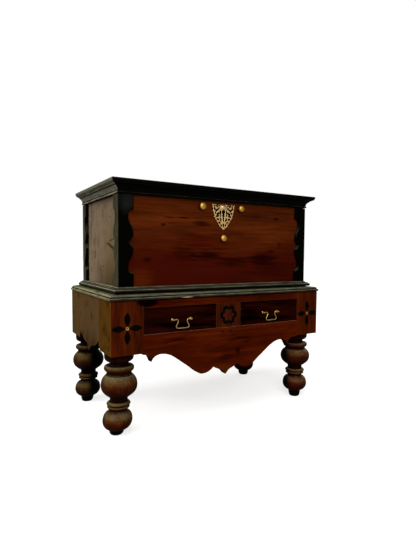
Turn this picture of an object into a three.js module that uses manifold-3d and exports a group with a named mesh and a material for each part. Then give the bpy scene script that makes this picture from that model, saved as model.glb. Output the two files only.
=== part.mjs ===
// Mule chest: a lidded coffer that stands in the moulded tray of a low stand with two drawers.
// Millimetres, +Z up, the front faces -Y. The origin is on the floor below the middle of the chest.

import * as THREE from 'three';
import { mergeVertices } from 'three/addons/utils/BufferGeometryUtils.js';
import Module from 'manifold-3d';

const wasm = await Module();
wasm.setup();

// Fits shared by every piece
const seam = 0.3;
const cutOverrun = 4;

// Stand: overall frame
const standWidth = 1184;
const standDepth = 670;
const legLength = 371;
const postHeight = 237;
const postWidth = 147;
const postDepth = 161;
const railThickness = 36;
const topRailHeight = 35.5;
const topRailDepth = 110;
const drawerOpeningHeight = 117.5;
const muntinWidth = 142;
const apronDrop = 233;
const apronShift = -14;
const sidePanelThickness = 30;
const sidePendantDrop = 36;
const sideNotchRise = 43;
const backPanelThickness = 25;
const backPanelHeight = 180;

// Stand: turned legs
const legBallRadius = 81;
const legTenonRadius = 22;
const legTenonLength = 70;
const legInsetSide = 69;
const legInsetFront = 95;
const legInsetBack = 72;

// Stand: moulding that forms the tray
const standMouldingHeight = 24.4;
const standMouldingReach = 58;
const trayClearance = 1.5;

// Stand: drawer runners
const runnerThickness = 20;
const sideRunnerWidth = 40;
const centreRunnerWidth = 220;
const centreGuideHeight = 26;

// Stand: inlays
const inlayThickness = 3;
const petalReach = 70;
const petalWidth = 26;
const petalNeckWidth = 5;
const petalCentreRadius = 8.5;
const petalCentreDrop = 120;
const rosetteRadius = 49;
const rosetteLobes = 6;

// Coffer
const setbackFront = 52;
const setbackSide = 52;
const setbackBack = 40;
const cofferHeight = 459.7;
const boardThickness = 25;
const bottomThickness = 18;
const mountThickness = 16;
const mountWidth = 73;
const mountBevel = 5;
const mountTopGap = 2.3;
const baseMouldingRise = 27.7;
const baseMouldingHeight = 30;
const baseMouldingReach = 24;

// Lid
const lidSeat = 0.4;
const rimHeight = 40;
const rimWidth = 36;
const rimReach = 27;
const lidBoardThickness = 20;
const lidNoseReach = 38.5;

// Lock
const lockPlateHeight = 126;
const lockPlateWidth = 134;
const lockPlateThickness = 2.4;
const lockPlateTopDrop = 12;
const lockShift = 8;
const lockBossRadius = 14;
const lockBossHeight = 9;
const lockBossDrop = 15;
const keyholeRadius = 5.2;
const keyholeSlotWidth = 6;
const keyholeSlotLength = 20;
const keyholeDrop = 44;
const studHeadRadius = 15.5;
const studHeadHeight = 16;
const studShankRadius = 4.5;
const upperStudOffset = 113;
const upperStudDrop = 28;
const lowerStudDrop = 180;
const lockCaseWidth = 256;
const lockCaseHeight = 198;
const lockCaseThickness = 24;
const lockCaseTopDrop = 5;
const staplePlateWidth = 28;
const staplePlateThickness = 3;
const stapleWidth = 40;
const tongueThickness = 7;
const tongueLength = 66;
const tongueClearance = 3;
const stapleEyeWidth = 16;
const stapleEyeHeight = 12;
const stapleEyeRise = 6;

// Lid hinges
const hingeWidth = 76;
const hingeLeafHeight = 40;
const hingeLidLeafHeight = 30;
const hingeLeafThickness = 2.5;
const hingeKnuckleRadius = 5.5;
const hingePinRadius = 2.5;
const hingeCentreWidth = 34;
const hingeKnuckleClearance = 0.6;
const hingeInset = 210;

// Drawers
const drawerGap = 1;
const drawerFrontThickness = 24;
const drawerBackClearance = 85;
const drawerSideGap = 3;
const drawerWall = 12;
const drawerSideHeight = 96;
const drawerBottomThickness = 7;
const drawerBottomRise = 8;
const drawerGrooveDepth = 5;

// Drawer handles
const handleSpan = 93;
const handleDrop = 39;
const handleStandoff = 11;
const handleBallRadius = 6;
const handleRoseRadius = 8;
const handleRoseThickness = 2.6;
const handleNeckRadius = 3.2;
const handleShankRadius = 2.8;
const handleNutRadius = 6.5;
const handleNutThickness = 5;
const bailWireRadius = 2.4;
const bailPinLength = 10;
const bailPinClearance = 0.4;
const handleRise = 56;

// Facets of round forms
const legFacets = 16;
const curveSteps = 3;
const roundFacets = 16;
const smallRoundFacets = 10;
const bailFacets = 8;
const bailSteps = 32;
const petalSteps = 7;
const rosetteSteps = 36;
const piercingSteps = 8;

// Planes and levels worked out from the sizes above
const handleReach = handleStandoff + handleBallRadius;
const legReachBehind = legBallRadius - legInsetBack;
const standFront = (handleReach - standDepth - legReachBehind) / 2;
const standBack = standFront + standDepth;
const standSide = standWidth / 2;
const standTop = legLength + postHeight;
const postInner = standSide - postWidth;
const openingTop = standTop - topRailHeight;
const openingBottom = openingTop - drawerOpeningHeight;
const muntinSide = muntinWidth / 2;
const cofferFront = standFront + setbackFront;
const cofferBack = standBack - setbackBack;
const cofferSide = standSide - setbackSide;
const cofferBottom = standTop + seam;
const cofferTop = cofferBottom + cofferHeight;
const frontBoardFace = cofferFront + mountThickness;
const sideBoardFace = cofferSide - mountThickness;
const frontBoardInside = frontBoardFace + boardThickness;
const backBoardInside = cofferBack - boardThickness;
const sideBoardInside = sideBoardFace - boardThickness;
const baseMouldingBottom = cofferBottom + baseMouldingRise;
const baseMouldingTop = baseMouldingBottom + baseMouldingHeight;
const mountBottom = baseMouldingTop + seam;
const mountHeight = cofferTop - mountTopGap - mountBottom;
const rimBottom = cofferTop + lidSeat;
const lidBoardBottom = rimBottom + rimHeight + seam;
const hingeAxisY = cofferBack + seam + hingeKnuckleRadius;
const hingeAxisZ = cofferTop + lidSeat / 2;
const lockPlateTop = cofferTop - lockPlateTopDrop;
const lockCaseTop = cofferTop - lockCaseTopDrop;
const tongueY = frontBoardInside + seam + lockCaseThickness / 2;
const drawerLength = standDepth - backPanelThickness - drawerBackClearance;

// Outlines as drawing steps: L is a line to a point, Q and C are curves, and every number is a
// share of the width and of the height that the outline is drawn to.

// Turned leg, from the floor up: radius as a share of the ball's, height as a share of the leg's
const legProfileShares = [
  ['L', 0.3, 0],
  ['Q', 0.37, 0, 0.385, 0.02],
  ['L', 0.4, 0.082],
  ['C', 0.62, 0.086, 0.815, 0.13, 0.815, 0.19],
  ['C', 0.815, 0.24, 0.66, 0.272, 0.48, 0.284],
  ['L', 0.46, 0.294],
  ['C', 0.535, 0.298, 0.54, 0.314, 0.5, 0.322],
  ['C', 0.67, 0.33, 0.7, 0.378, 0.5, 0.402],
  ['L', 0.46, 0.412],
  ['Q', 0.455, 0.44, 0.5, 0.458],
  ['C', 0.8, 0.474, 1, 0.54, 1, 0.614],
  ['C', 1, 0.668, 0.88, 0.7, 0.72, 0.719],
  ['L', 0.69, 0.728],
  ['L', 0.69, 0.76],
  ['C', 0.84, 0.768, 0.865, 0.812, 0.74, 0.828],
  ['C', 0.55, 0.832, 0.5, 0.85, 0.535, 0.863],
  ['C', 0.66, 0.876, 0.78, 0.888, 0.8, 0.915],
  ['L', 0.815, 1],
];

// Apron below the drawers, right half from the middle pendant outward: shares of the half width
// and of the drop
const apronShares = [
  ['C', 0.02, 0.045, 0.04, 0.1, 0.075, 0.115],
  ['L', 0.162, 0.189],
  ['C', 0.195, 0.115, 0.25, 0.075, 0.31, 0.085],
  ['C', 0.36, 0.105, 0.4, 0.204, 0.47, 0.292],
  ['C', 0.56, 0.41, 0.64, 0.553, 0.74, 0.587],
  ['C', 0.81, 0.607, 0.87, 0.567, 0.885, 0.452],
  ['C', 0.9, 0.54, 0.915, 0.602, 0.95, 0.612],
  ['L', 1, 0.619],
];

// Lower edge of a side panel, half of it from the middle pendant outward: shares of the half
// length and of the height from the pendant's tip to the notch
const sideEdgeShares = [
  ['C', 0.1, 0.16, 0.13, 0.34, 0.3, 0.42],
  ['C', 0.52, 0.5, 0.74, 0.62, 0.9, 1],
  ['C', 0.93, 0.78, 0.96, 0.6, 1, 0.52],
];

// Inner edge of a corner mount from its foot up: shares of its width and height
const mountEdgeShares = [
  ['L', 1, 0.144],
  ['C', 0.9, 0.146, 0.72, 0.15, 0.67, 0.185],
  ['C', 0.64, 0.24, 0.68, 0.27, 0.8, 0.305],
  ['C', 0.92, 0.335, 0.97, 0.36, 0.97, 0.4],
  ['L', 0.97, 0.43],
  ['Q', 0.84, 0.445, 0.7, 0.487],
  ['Q', 0.84, 0.525, 0.97, 0.545],
  ['L', 0.97, 0.585],
  ['C', 0.97, 0.62, 0.92, 0.65, 0.8, 0.685],
  ['C', 0.68, 0.725, 0.64, 0.76, 0.67, 0.8],
  ['C', 0.72, 0.835, 0.9, 0.84, 1, 0.845],
  ['L', 1, 1],
];

// Rim moulding of the lid from its bead up: shares of its reach and height
const rimProfileShares = [
  ['L', 0.1, 0],
  ['L', 0.12, 0.1],
  ['C', 0.28, 0.12, 0.32, 0.25, 0.28, 0.34],
  ['C', 0.25, 0.42, 0.12, 0.44, 0.08, 0.53],
  ['C', 0.08, 0.64, 0.34, 0.79, 0.62, 0.88],
  ['C', 0.8, 0.93, 0.9, 0.96, 1, 1],
];

// Edge of the lid board from its underside up: shares of its reach and thickness
const lidEdgeShares = [
  ['L', 0.76, 0],
  ['L', 0.86, 0.1],
  ['L', 0.88, 0.36],
  ['L', 0.94, 0.4],
  ['C', 1.02, 0.5, 1.02, 0.86, 0.95, 1],
];

// Base moulding of the coffer from below: shares of its reach and height
const baseProfileShares = [
  ['L', 0.86, 0],
  ['C', 1.02, 0.1, 1.04, 0.42, 0.86, 0.56],
  ['L', 0.62, 0.6],
  ['C', 0.42, 0.64, 0.3, 0.74, 0.26, 0.88],
  ['L', 0.12, 0.92],
  ['L', 0.1, 1],
];

// Moulding of the stand from below: shares of its reach and height
const standProfileShares = [
  ['L', 0.96, 0],
  ['C', 1.01, 0.08, 1.01, 0.3, 0.95, 0.38],
  ['L', 0.86, 0.42],
  ['L', 0.8, 0.52],
  ['C', 0.8, 0.62, 0.78, 0.78, 0.72, 0.84],
  ['L', 0.5, 0.94],
  ['L', 0.25, 1],
];

// Lock plate, right half from its lower point up: shares of its half width and height
const lockOutlineShares = [
  ['L', 0.2, 0.095],
  ['L', 0.37, 0.18],
  ['L', 0.4, 0.25],
  ['L', 0.52, 0.3],
  ['L', 0.62, 0.39],
  ['L', 0.78, 0.46],
  ['L', 0.7, 0.54],
  ['L', 0.76, 0.64],
  ['L', 0.86, 0.7],
  ['L', 0.86, 0.8],
  ['L', 0.94, 0.9],
  ['L', 1, 1],
  ['L', 0.8, 0.975],
  ['L', 0.64, 0.985],
  ['L', 0.5, 0.955],
  ['L', 0.3, 0.985],
];

// Piercings of the lock plate, right half: middle across, middle up, half length, half width
// (shares of the half width) and the lean of the long side as a share of a half turn
const piercingShares = [
  [0.56, 0.905, 0.11, 0.06, 0.2],
  [0.75, 0.84, 0.1, 0.06, 0.1],
  [0.36, 0.85, 0.1, 0.055, -0.15],
  [0.52, 0.745, 0.12, 0.06, 0.14],
  [0.75, 0.74, 0.065, 0.05, -0.12],
  [0.54, 0.59, 0.15, 0.06, -0.24],
  [0.26, 0.655, 0.15, 0.055, 0.44],
  [0.5, 0.475, 0.12, 0.06, 0.08],
  [0.25, 0.42, 0.15, 0.055, 0.4],
  [0.37, 0.3, 0.09, 0.055, 0.28],
  [0.21, 0.205, 0.09, 0.045, 0.3],
];
const centrePiercingShares = [
  [0, 0.175, 0.11, 0.045, 0.5],
  [0, 0.385, 0.12, 0.05, 0.5],
];

// Swan-neck bail, right half from the pin inward: shares of the half span and of the drop
const bailPathShares = [
  [0.88, 0], [0.7, 0.04], [0.55, 0], [0.49, -0.19], [0.57, -0.44],
  [0.69, -0.7], [0.67, -0.9], [0.52, -0.99], [0.25, -1],
];

// Profile of a stud head and of the boss: quarter round
const domeShares = [['C', 1, 0.5, 0.6, 1, 0, 1]];

// Lobes of the rosette: least radius and swell, as shares of its radius
const rosetteOuterShares = [0.75, 0.25];
const rosetteInnerShares = [0.47, 0.25];

// Swell of a petal: the powers that place its widest part and round its shoulders
const petalSwellShares = [1.3, 0.8];

// Finishes
const finish = (color, roughness, metalness = 0) =>
  new THREE.MeshStandardMaterial({ color, roughness, metalness });
const finishes = {
  redWood: finish('#5a2410', 0.45),
  weatheredWood: finish('#6b5b45', 0.7),
  ebony: finish('#1b1b17', 0.4),
  mouldingWood: finish('#4f4c36', 0.5),
  standWood: finish('#63290f', 0.45),
  drawerWood: finish('#2a0c08', 0.4),
  turnedWood: finish('#40260f', 0.4),
  insideWood: finish('#7a5a3a', 0.8),
  brass: finish('#b5924c', 0.35, 1),
  iron: finish('#3b3836', 0.6, 0.8),
};

// Points of an outline drawn by steps of shares from a start point
function drawn(steps, width, height, startShares = [0, 0]) {
  const path = new THREE.Path();
  path.moveTo(startShares[0] * width, startShares[1] * height);
  for (const [kind, ...shares] of steps) {
    const at = shares.map((share, i) => share * (i % 2 ? height : width));
    if (kind === 'L') path.lineTo(...at);
    if (kind === 'Q') path.quadraticCurveTo(...at);
    if (kind === 'C') path.bezierCurveTo(...at);
  }
  return path.getPoints(curveSteps);
}

const moved = (points, x, y) => points.map((p) => new THREE.Vector2(p.x + x, p.y + y));
const mirrored = (points) => points.map((p) => new THREE.Vector2(-p.x, p.y)).reverse();
const point = (x, y) => new THREE.Vector2(x, y);

// A closed mesh from points and triangles, turned inside out where its faces point inward
function closedGeometry(points, triangles) {
  const volume = triangles.reduce((sum, [a, b, c]) => {
    const [p, q, r] = [points[a], points[b], points[c]];
    return sum + p.dot(q.clone().cross(r));
  }, 0);
  const faces = volume < 0 ? triangles.map(([a, b, c]) => [a, c, b]) : triangles;
  const geometry = new THREE.BufferGeometry().setFromPoints(points);
  geometry.setIndex(faces.flat());
  geometry.computeVertexNormals();
  return geometry;
}

// A profile carried from station to station. Each station says where the profile's origin lies
// in plan and which way its reach points there, so a mitre is a reach at 45 degrees.
function carried(profile, stations) {
  const count = profile.length;
  const points = stations.flatMap(({ x, y, reachX, reachY }) =>
    profile.map((p) => new THREE.Vector3(x + p.x * reachX, y + p.x * reachY, p.y)));
  const cap = THREE.ShapeUtils.triangulateShape(profile, []);
  const last = (stations.length - 1) * count;
  const triangles = [
    ...cap.map(([a, b, c]) => [a, c, b]),
    ...cap.map(([a, b, c]) => [last + a, last + b, last + c]),
  ];
  for (let s = 0; s < stations.length - 1; s += 1) {
    for (let i = 0; i < count; i += 1) {
      const a = s * count + i;
      const b = s * count + ((i + 1) % count);
      triangles.push([a, b, b + count], [a, b + count, a + count]);
    }
  }
  return closedGeometry(points, triangles);
}

// A flat outline given thickness. One that stands faces the front, with its thickness behind
// its face; one that faces a side has its thickness toward +X; the plain one lies flat.
function extruded(outline, thickness, holes = [], bevel = 0) {
  const shape = new THREE.Shape(outline);
  shape.holes = holes.map((hole) => new THREE.Path(hole));
  const options = {
    depth: thickness,
    bevelEnabled: bevel > 0,
    bevelThickness: bevel,
    bevelSize: bevel,
    bevelOffset: -bevel,
    bevelSegments: 1,
  };
  return new THREE.ExtrudeGeometry(shape, options).translate(0, 0, bevel);
}
const standing = (outline, thickness, holes, bevel = 0) =>
  extruded(outline, thickness, holes, bevel)
    .rotateX(Math.PI / 2)
    .translate(0, thickness + 2 * bevel, 0);
const sideTurn = new THREE.Matrix4().makeBasis(
  new THREE.Vector3(0, 1, 0), new THREE.Vector3(0, 0, 1), new THREE.Vector3(1, 0, 0));
const facingSide = (outline, thickness, holes, bevel) =>
  extruded(outline, thickness, holes, bevel).applyMatrix4(sideTurn);

// A block between two corners
function block([x0, y0, z0], [x1, y1, z1]) {
  const geometry = new THREE.BoxGeometry(x1 - x0, y1 - y0, z1 - z0);
  return geometry.translate((x0 + x1) / 2, (y0 + y1) / 2, (z0 + z1) / 2);
}

// A copy with every triangle's winding turned over
function rewound(geometry) {
  const loose = geometry.index ? geometry.toNonIndexed() : geometry.clone();
  const { array } = loose.attributes.position;
  for (let i = 0; i < array.length; i += 9) {
    const second = array.slice(i + 3, i + 6);
    array.copyWithin(i + 3, i + 6, i + 9);
    array.set(second, i + 6);
  }
  loose.computeVertexNormals();
  return loose;
}
const mirroredX = (geometry) => rewound(geometry).scale(-1, 1, 1);

// A profile of radius and height turned round the Z axis, from its low end to its high end
const turned = (profile, facets) =>
  new THREE.LatheGeometry(profile, facets).rotateX(Math.PI / 2);

// A round bar along X between two places, about the X axis
const roundBar = (x0, x1, radius, facets = smallRoundFacets) =>
  new THREE.CylinderGeometry(radius, radius, x1 - x0, facets)
    .rotateZ(Math.PI / 2)
    .translate((x0 + x1) / 2, 0, 0);

// Solids for cutting and joining
function toSolid(geometry) {
  const bare = geometry.index ? geometry.toNonIndexed() : geometry.clone();
  bare.deleteAttribute('normal');
  bare.deleteAttribute('uv');
  const merged = mergeVertices(bare);
  const corners = merged.index.array;
  const kept = [];
  for (let i = 0; i < corners.length; i += 3) {
    const [a, b, c] = corners.slice(i, i + 3);
    if (a !== b && b !== c && c !== a) kept.push(a, b, c);
  }
  return new wasm.Manifold(new wasm.Mesh({
    numProp: 3,
    vertProperties: Float32Array.from(merged.attributes.position.array),
    triVerts: Uint32Array.from(kept),
  }));
}
function toGeometry(solid) {
  const { vertProperties, triVerts } = solid.getMesh();
  const geometry = new THREE.BufferGeometry();
  geometry.setAttribute('position', new THREE.BufferAttribute(vertProperties, 3));
  geometry.setIndex(new THREE.BufferAttribute(triVerts, 1));
  geometry.computeVertexNormals();
  return geometry;
}
const cut = (geometry, ...tools) =>
  toGeometry(tools.reduce((solid, tool) => solid.subtract(toSolid(tool)), toSolid(geometry)));
const joined = (...geometries) =>
  toGeometry(geometries.map(toSolid).reduce((whole, solid) => whole.add(solid)));
const common = (a, b) => toGeometry(toSolid(a).intersect(toSolid(b)));

// The model is nested groups of named meshes
const chest = new THREE.Group();
function assembly(parent, x = 0, y = 0, z = 0) {
  const group = new THREE.Group();
  group.position.set(x, y, z);
  parent.add(group);
  return group;
}
function piece(parent, name, geometry, material, x = 0, y = 0, z = 0) {
  const mesh = new THREE.Mesh(geometry, material);
  mesh.name = name;
  mesh.position.set(x, y, z);
  parent.add(mesh);
}
const sides = [['left', -1], ['right', 1]];
const handed = (geometry, sign) => (sign > 0 ? geometry : mirroredX(geometry));

// A moulding's closed profile: the moulded steps outside and a flat back inside
const profileOf = (steps, reach, height, inner, base) => moved([
  point(-inner, 0),
  ...drawn(steps, reach, height).slice(1),
  point(-inner, height),
], 0, base);

// Stations round the coffer's front and sides, for mouldings that follow it
const frontStation = (sign) => ({
  x: sign * (cofferSide - seam), y: cofferFront, reachX: sign, reachY: -1,
});
const sideStation = (sign) => ({
  x: sign * cofferSide, y: cofferFront + seam, reachX: sign, reachY: -1,
});
const backStation = (sign, y = cofferBack) => ({ x: sign * cofferSide, y, reachX: sign, reachY: 0 });
const cornerStation = (sign) => ({ ...sideStation(sign), y: cofferFront });

// Leg: one turning from foot to tenon
function legGeometry() {
  const shaft = drawn(legProfileShares, legBallRadius, legLength - seam);
  const top = shaft[shaft.length - 1].y;
  return turned([
    ...shaft,
    point(legTenonRadius, top),
    point(legTenonRadius, top + legTenonLength),
    point(0, top + legTenonLength),
  ], legFacets);
}

// Four petals round a disc, each swelling from the disc and ending in a point. Grow widens the
// outline all round, for the pocket that takes the inlay.
function petalInlay(thickness, grow = 0) {
  const [placePower, roundPower] = petalSwellShares;
  const edge = [];
  for (let i = 0; i <= petalSteps; i += 1) {
    const share = i / petalSteps;
    const swell = (petalWidth / 2) * Math.sin(Math.PI * share ** placePower) ** roundPower;
    const half = i === petalSteps ? 0 : Math.max(petalNeckWidth / 2, swell) + grow;
    edge.push(point(half, share * (petalReach + grow)));
  }
  const quarter = mirrored(edge).slice(1);
  const lens = [...edge, ...quarter];
  const downward = lens.map((p) => point(-p.x, -p.y));
  const outline = [...lens, ...downward.slice(1, -1)];
  const upright = standing(outline, thickness);
  const across = standing(outline.map((p) => point(-p.y, p.x)), thickness);
  const disc = turned([
    point(0, 0),
    point(petalCentreRadius + grow, 0),
    point(petalCentreRadius + grow, thickness),
    point(0, thickness),
  ], roundFacets).rotateX(Math.PI / 2).translate(0, thickness, 0);
  return joined(upright, across, disc);
}

// Lobes as a closed band: the radius swells and shrinks once for each lobe
function rosetteInlay(thickness, grow = 0) {
  const ring = ([leastShare, swellShare], change) =>
    Array.from({ length: rosetteSteps }, (_, i) => {
      const angle = (2 * Math.PI * i) / rosetteSteps;
      const lobe = leastShare + swellShare * Math.abs(Math.cos((rosetteLobes * angle) / 2));
      const radius = rosetteRadius * lobe + change;
      return point(radius * Math.cos(angle), radius * Math.sin(angle));
    });
  return standing(ring(rosetteOuterShares, grow), thickness,
    [ring(rosetteInnerShares, -grow)]);
}

function buildStand() {
  const stand = assembly(chest);
  const leg = legGeometry();
  const postX = standSide - postWidth / 2;
  const legX = standSide - legInsetSide;
  const ends = [
    ['front', standFront + postDepth / 2, standFront + legInsetFront],
    ['back', standBack - postDepth / 2, standBack - legInsetBack],
  ];
  const pocket = petalInlay(inlayThickness + seam + cutOverrun, seam)
    .translate(0, -postDepth / 2 - cutOverrun, postHeight - petalCentreDrop);
  for (const [end, postY, legY] of ends) {
    const bore = turned([
      point(0, -cutOverrun),
      point(legTenonRadius + seam, -cutOverrun),
      point(legTenonRadius + seam, legTenonLength + seam),
      point(0, legTenonLength + seam),
    ], legFacets).translate(legX - postX, legY - postY, 0);
    const body = block(
      [-postWidth / 2, -postDepth / 2, 0], [postWidth / 2, postDepth / 2, postHeight]);
    const post = end === 'front' ? cut(body, bore, pocket) : cut(body, bore);
    for (const [side, sign] of sides) {
      piece(stand, `corner_post_${end}_${side}`, handed(post, sign), finishes.standWood,
        sign * postX, postY, legLength);
      piece(stand, `leg_${end}_${side}`, leg, finishes.turnedWood, sign * legX, legY, 0);
    }
  }
  for (const [side, sign] of sides) {
    piece(stand, `petal_inlay_${side}`, petalInlay(inlayThickness), finishes.ebony,
      sign * postX, standFront, standTop - petalCentreDrop);
  }

  const railEnd = postInner - seam;
  piece(stand, 'top_rail', block(
    [-railEnd, standFront, openingTop], [railEnd, standFront + topRailDepth, standTop],
  ), finishes.standWood);

  const muntinHeight = drawerOpeningHeight - 2 * seam;
  const rosettePocket = rosetteInlay(inlayThickness + seam + cutOverrun, seam)
    .translate(0, -cutOverrun, muntinHeight / 2);
  piece(stand, 'centre_muntin', cut(block(
    [-muntinSide, 0, 0], [muntinSide, railThickness, muntinHeight]), rosettePocket,
  ), finishes.standWood, 0, standFront, openingBottom + seam);
  piece(stand, 'rosette_inlay', rosetteInlay(inlayThickness), finishes.ebony,
    0, standFront, openingBottom + seam + muntinHeight / 2);

  const apronEdge = drawn(apronShares, railEnd, apronDrop);
  const apronEnd = apronEdge.pop();
  piece(stand, 'front_apron', standing([
    point(-railEnd, apronEnd.y),
    ...moved([...mirrored(apronEdge.slice(1)), ...apronEdge], apronShift, 0),
    apronEnd,
    point(railEnd, apronDrop),
    point(-railEnd, apronDrop),
  ], railThickness), finishes.standWood, 0, standFront, openingBottom - apronDrop);

  const panelEnd = standDepth / 2 - postDepth - seam;
  const panelEdge = drawn(sideEdgeShares, panelEnd, sidePendantDrop + sideNotchRise);
  const panelTop = postHeight + sidePendantDrop;
  const panel = facingSide([
    ...panelEdge,
    point(panelEnd, panelTop),
    point(-panelEnd, panelTop),
    ...mirrored(panelEdge.slice(1)),
  ], sidePanelThickness);
  for (const [side, sign] of sides) {
    piece(stand, `side_panel_${side}`, panel, finishes.weatheredWood,
      sign > 0 ? standSide - sidePanelThickness : -standSide,
      (standFront + standBack) / 2, legLength - sidePendantDrop);
  }
  piece(stand, 'stand_back_panel', block(
    [-railEnd, standBack - backPanelThickness, standTop - backPanelHeight],
    [railEnd, standBack, standTop]), finishes.insideWood);

  const profile = profileOf(standProfileShares, standMouldingReach, standMouldingHeight,
    mountThickness - trayClearance, standTop + seam);
  piece(stand, 'stand_moulding_front',
    carried(profile, [frontStation(-1), frontStation(1)]), finishes.mouldingWood);
  for (const [side, sign] of sides) {
    piece(stand, `stand_moulding_${side}`,
      carried(profile, [sideStation(sign), backStation(sign, standBack)]), finishes.mouldingWood);
  }
  return stand;
}

// Runners under the drawers' sides, from the apron to the back panel
function buildRunners(stand) {
  const front = standFront + railThickness + seam;
  const length = standBack - backPanelThickness - seam - front;
  const top = openingBottom - seam;
  const outer = postInner - seam;
  for (const [side, sign] of sides) {
    piece(stand, `drawer_runner_${side}`,
      block([-sideRunnerWidth / 2, 0, -runnerThickness], [sideRunnerWidth / 2, length, 0]),
      finishes.insideWood, sign * (outer - sideRunnerWidth / 2), front, top);
  }
  const half = centreRunnerWidth / 2;
  const guide = muntinSide - seam;
  piece(stand, 'drawer_runner_centre', standing([
    point(-half, -runnerThickness),
    point(half, -runnerThickness),
    point(half, 0),
    point(guide, 0),
    point(guide, centreGuideHeight),
    point(-guide, centreGuideHeight),
    point(-guide, 0),
    point(-half, 0),
  ], length), finishes.insideWood, 0, front, top);
}

// Keyhole: a round with a slot below it
function keyholeOutline() {
  const half = keyholeSlotWidth / 2;
  const start = Math.asin(half / keyholeRadius) - Math.PI / 2;
  const turn = Math.PI - 2 * start;
  const round = Array.from({ length: smallRoundFacets + 1 }, (_, i) => {
    const angle = start + (turn * i) / smallRoundFacets;
    return point(keyholeRadius * Math.cos(angle), keyholeRadius * Math.sin(angle));
  });
  return [...round, point(-half, -keyholeSlotLength), point(half, -keyholeSlotLength)];
}

// Corner mount: a scalloped leaf on the front and one on the side, joined at the corner. The
// corner is at the origin, the leaves run toward +X and +Y. Only the scalloped edge is bevelled.
function mountLeaves() {
  const spare = cutOverrun + mountBevel;
  const outline = [
    point(-spare, -spare),
    point(mountWidth, -spare),
    ...drawn(mountEdgeShares, mountWidth, mountHeight, [1, 0]),
    point(mountWidth, mountHeight + spare),
    point(-spare, mountHeight + spare),
  ];
  const front = common(standing(outline, mountThickness, [], mountBevel),
    block([0, 0, 0], [mountWidth, mountThickness, mountHeight]));
  const side = common(facingSide(outline, mountThickness, [], mountBevel),
    block([0, 0, 0], [mountThickness, mountWidth, mountHeight]));
  return { front, side };
}

function buildCoffer() {
  const coffer = assembly(chest);
  const stud = studGeometry();
  const studs = [
    ['left', -upperStudOffset, cofferTop - upperStudDrop],
    ['right', upperStudOffset, cofferTop - upperStudDrop],
    ['lower', lockShift, cofferTop - lowerStudDrop],
  ];
  const through = boardThickness + 2 * cutOverrun;
  const bores = studs.map(([, x, z]) => turned([
    point(0, 0),
    point(studShankRadius + seam, 0),
    point(studShankRadius + seam, through),
    point(0, through),
  ], smallRoundFacets).rotateX(Math.PI / 2).translate(x, frontBoardInside + cutOverrun, z));
  const keyway = standing(keyholeOutline(), through)
    .translate(lockShift, frontBoardFace - cutOverrun, lockPlateTop - keyholeDrop);
  piece(coffer, 'coffer_front_board', cut(block(
    [-sideBoardFace, frontBoardFace, cofferBottom],
    [sideBoardFace, frontBoardInside, cofferTop]), ...bores, keyway), finishes.redWood);
  piece(coffer, 'coffer_back_board', block(
    [-sideBoardFace, backBoardInside, cofferBottom],
    [sideBoardFace, cofferBack, cofferTop]), finishes.insideWood);
  const sideLength = backBoardInside - frontBoardInside - 2 * seam;
  const sideBoard = block(
    [-boardThickness / 2, 0, 0], [boardThickness / 2, sideLength, cofferHeight]);
  for (const [side, sign] of sides) {
    piece(coffer, `coffer_${side}_board`, sideBoard, finishes.weatheredWood,
      sign * (sideBoardInside + boardThickness / 2), frontBoardInside + seam, cofferBottom);
  }
  const bottomEnd = sideBoardInside - seam;
  piece(coffer, 'coffer_bottom_board', block(
    [-bottomEnd, frontBoardInside + seam, 0],
    [bottomEnd, backBoardInside - seam, bottomThickness]),
  finishes.insideWood, 0, 0, cofferBottom);

  const { front, side: sideLeaf } = mountLeaves();
  const frontMount = joined(front, sideLeaf);
  const backMount = mirroredX(sideLeaf.clone().rotateZ(Math.PI));
  for (const [side, sign] of sides) {
    piece(coffer, `corner_mount_front_${side}`, handed(frontMount, -sign), finishes.ebony,
      sign * cofferSide, cofferFront, mountBottom);
    piece(coffer, `corner_mount_back_${side}`, handed(backMount, -sign), finishes.ebony,
      sign * cofferSide, cofferBack, mountBottom);
  }

  piece(coffer, 'coffer_base_moulding', carried(
    profileOf(baseProfileShares, baseMouldingReach, baseMouldingHeight,
      mountThickness - seam, baseMouldingBottom),
    [backStation(-1), cornerStation(-1), cornerStation(1), backStation(1)],
  ), finishes.mouldingWood);

  const lock = assembly(coffer, 0, frontBoardFace - seam);
  piece(lock, 'lock_plate', lockPlateGeometry(), finishes.brass,
    lockShift, -lockPlateThickness, lockPlateTop - lockPlateHeight);
  for (const [where, x, z] of studs) {
    piece(lock, `lock_stud_${where}`, stud, finishes.brass, x, 0, z);
  }
  piece(coffer, 'lock_case', lockCaseGeometry(), finishes.iron, lockShift, tongueY, lockCaseTop);
}

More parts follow.
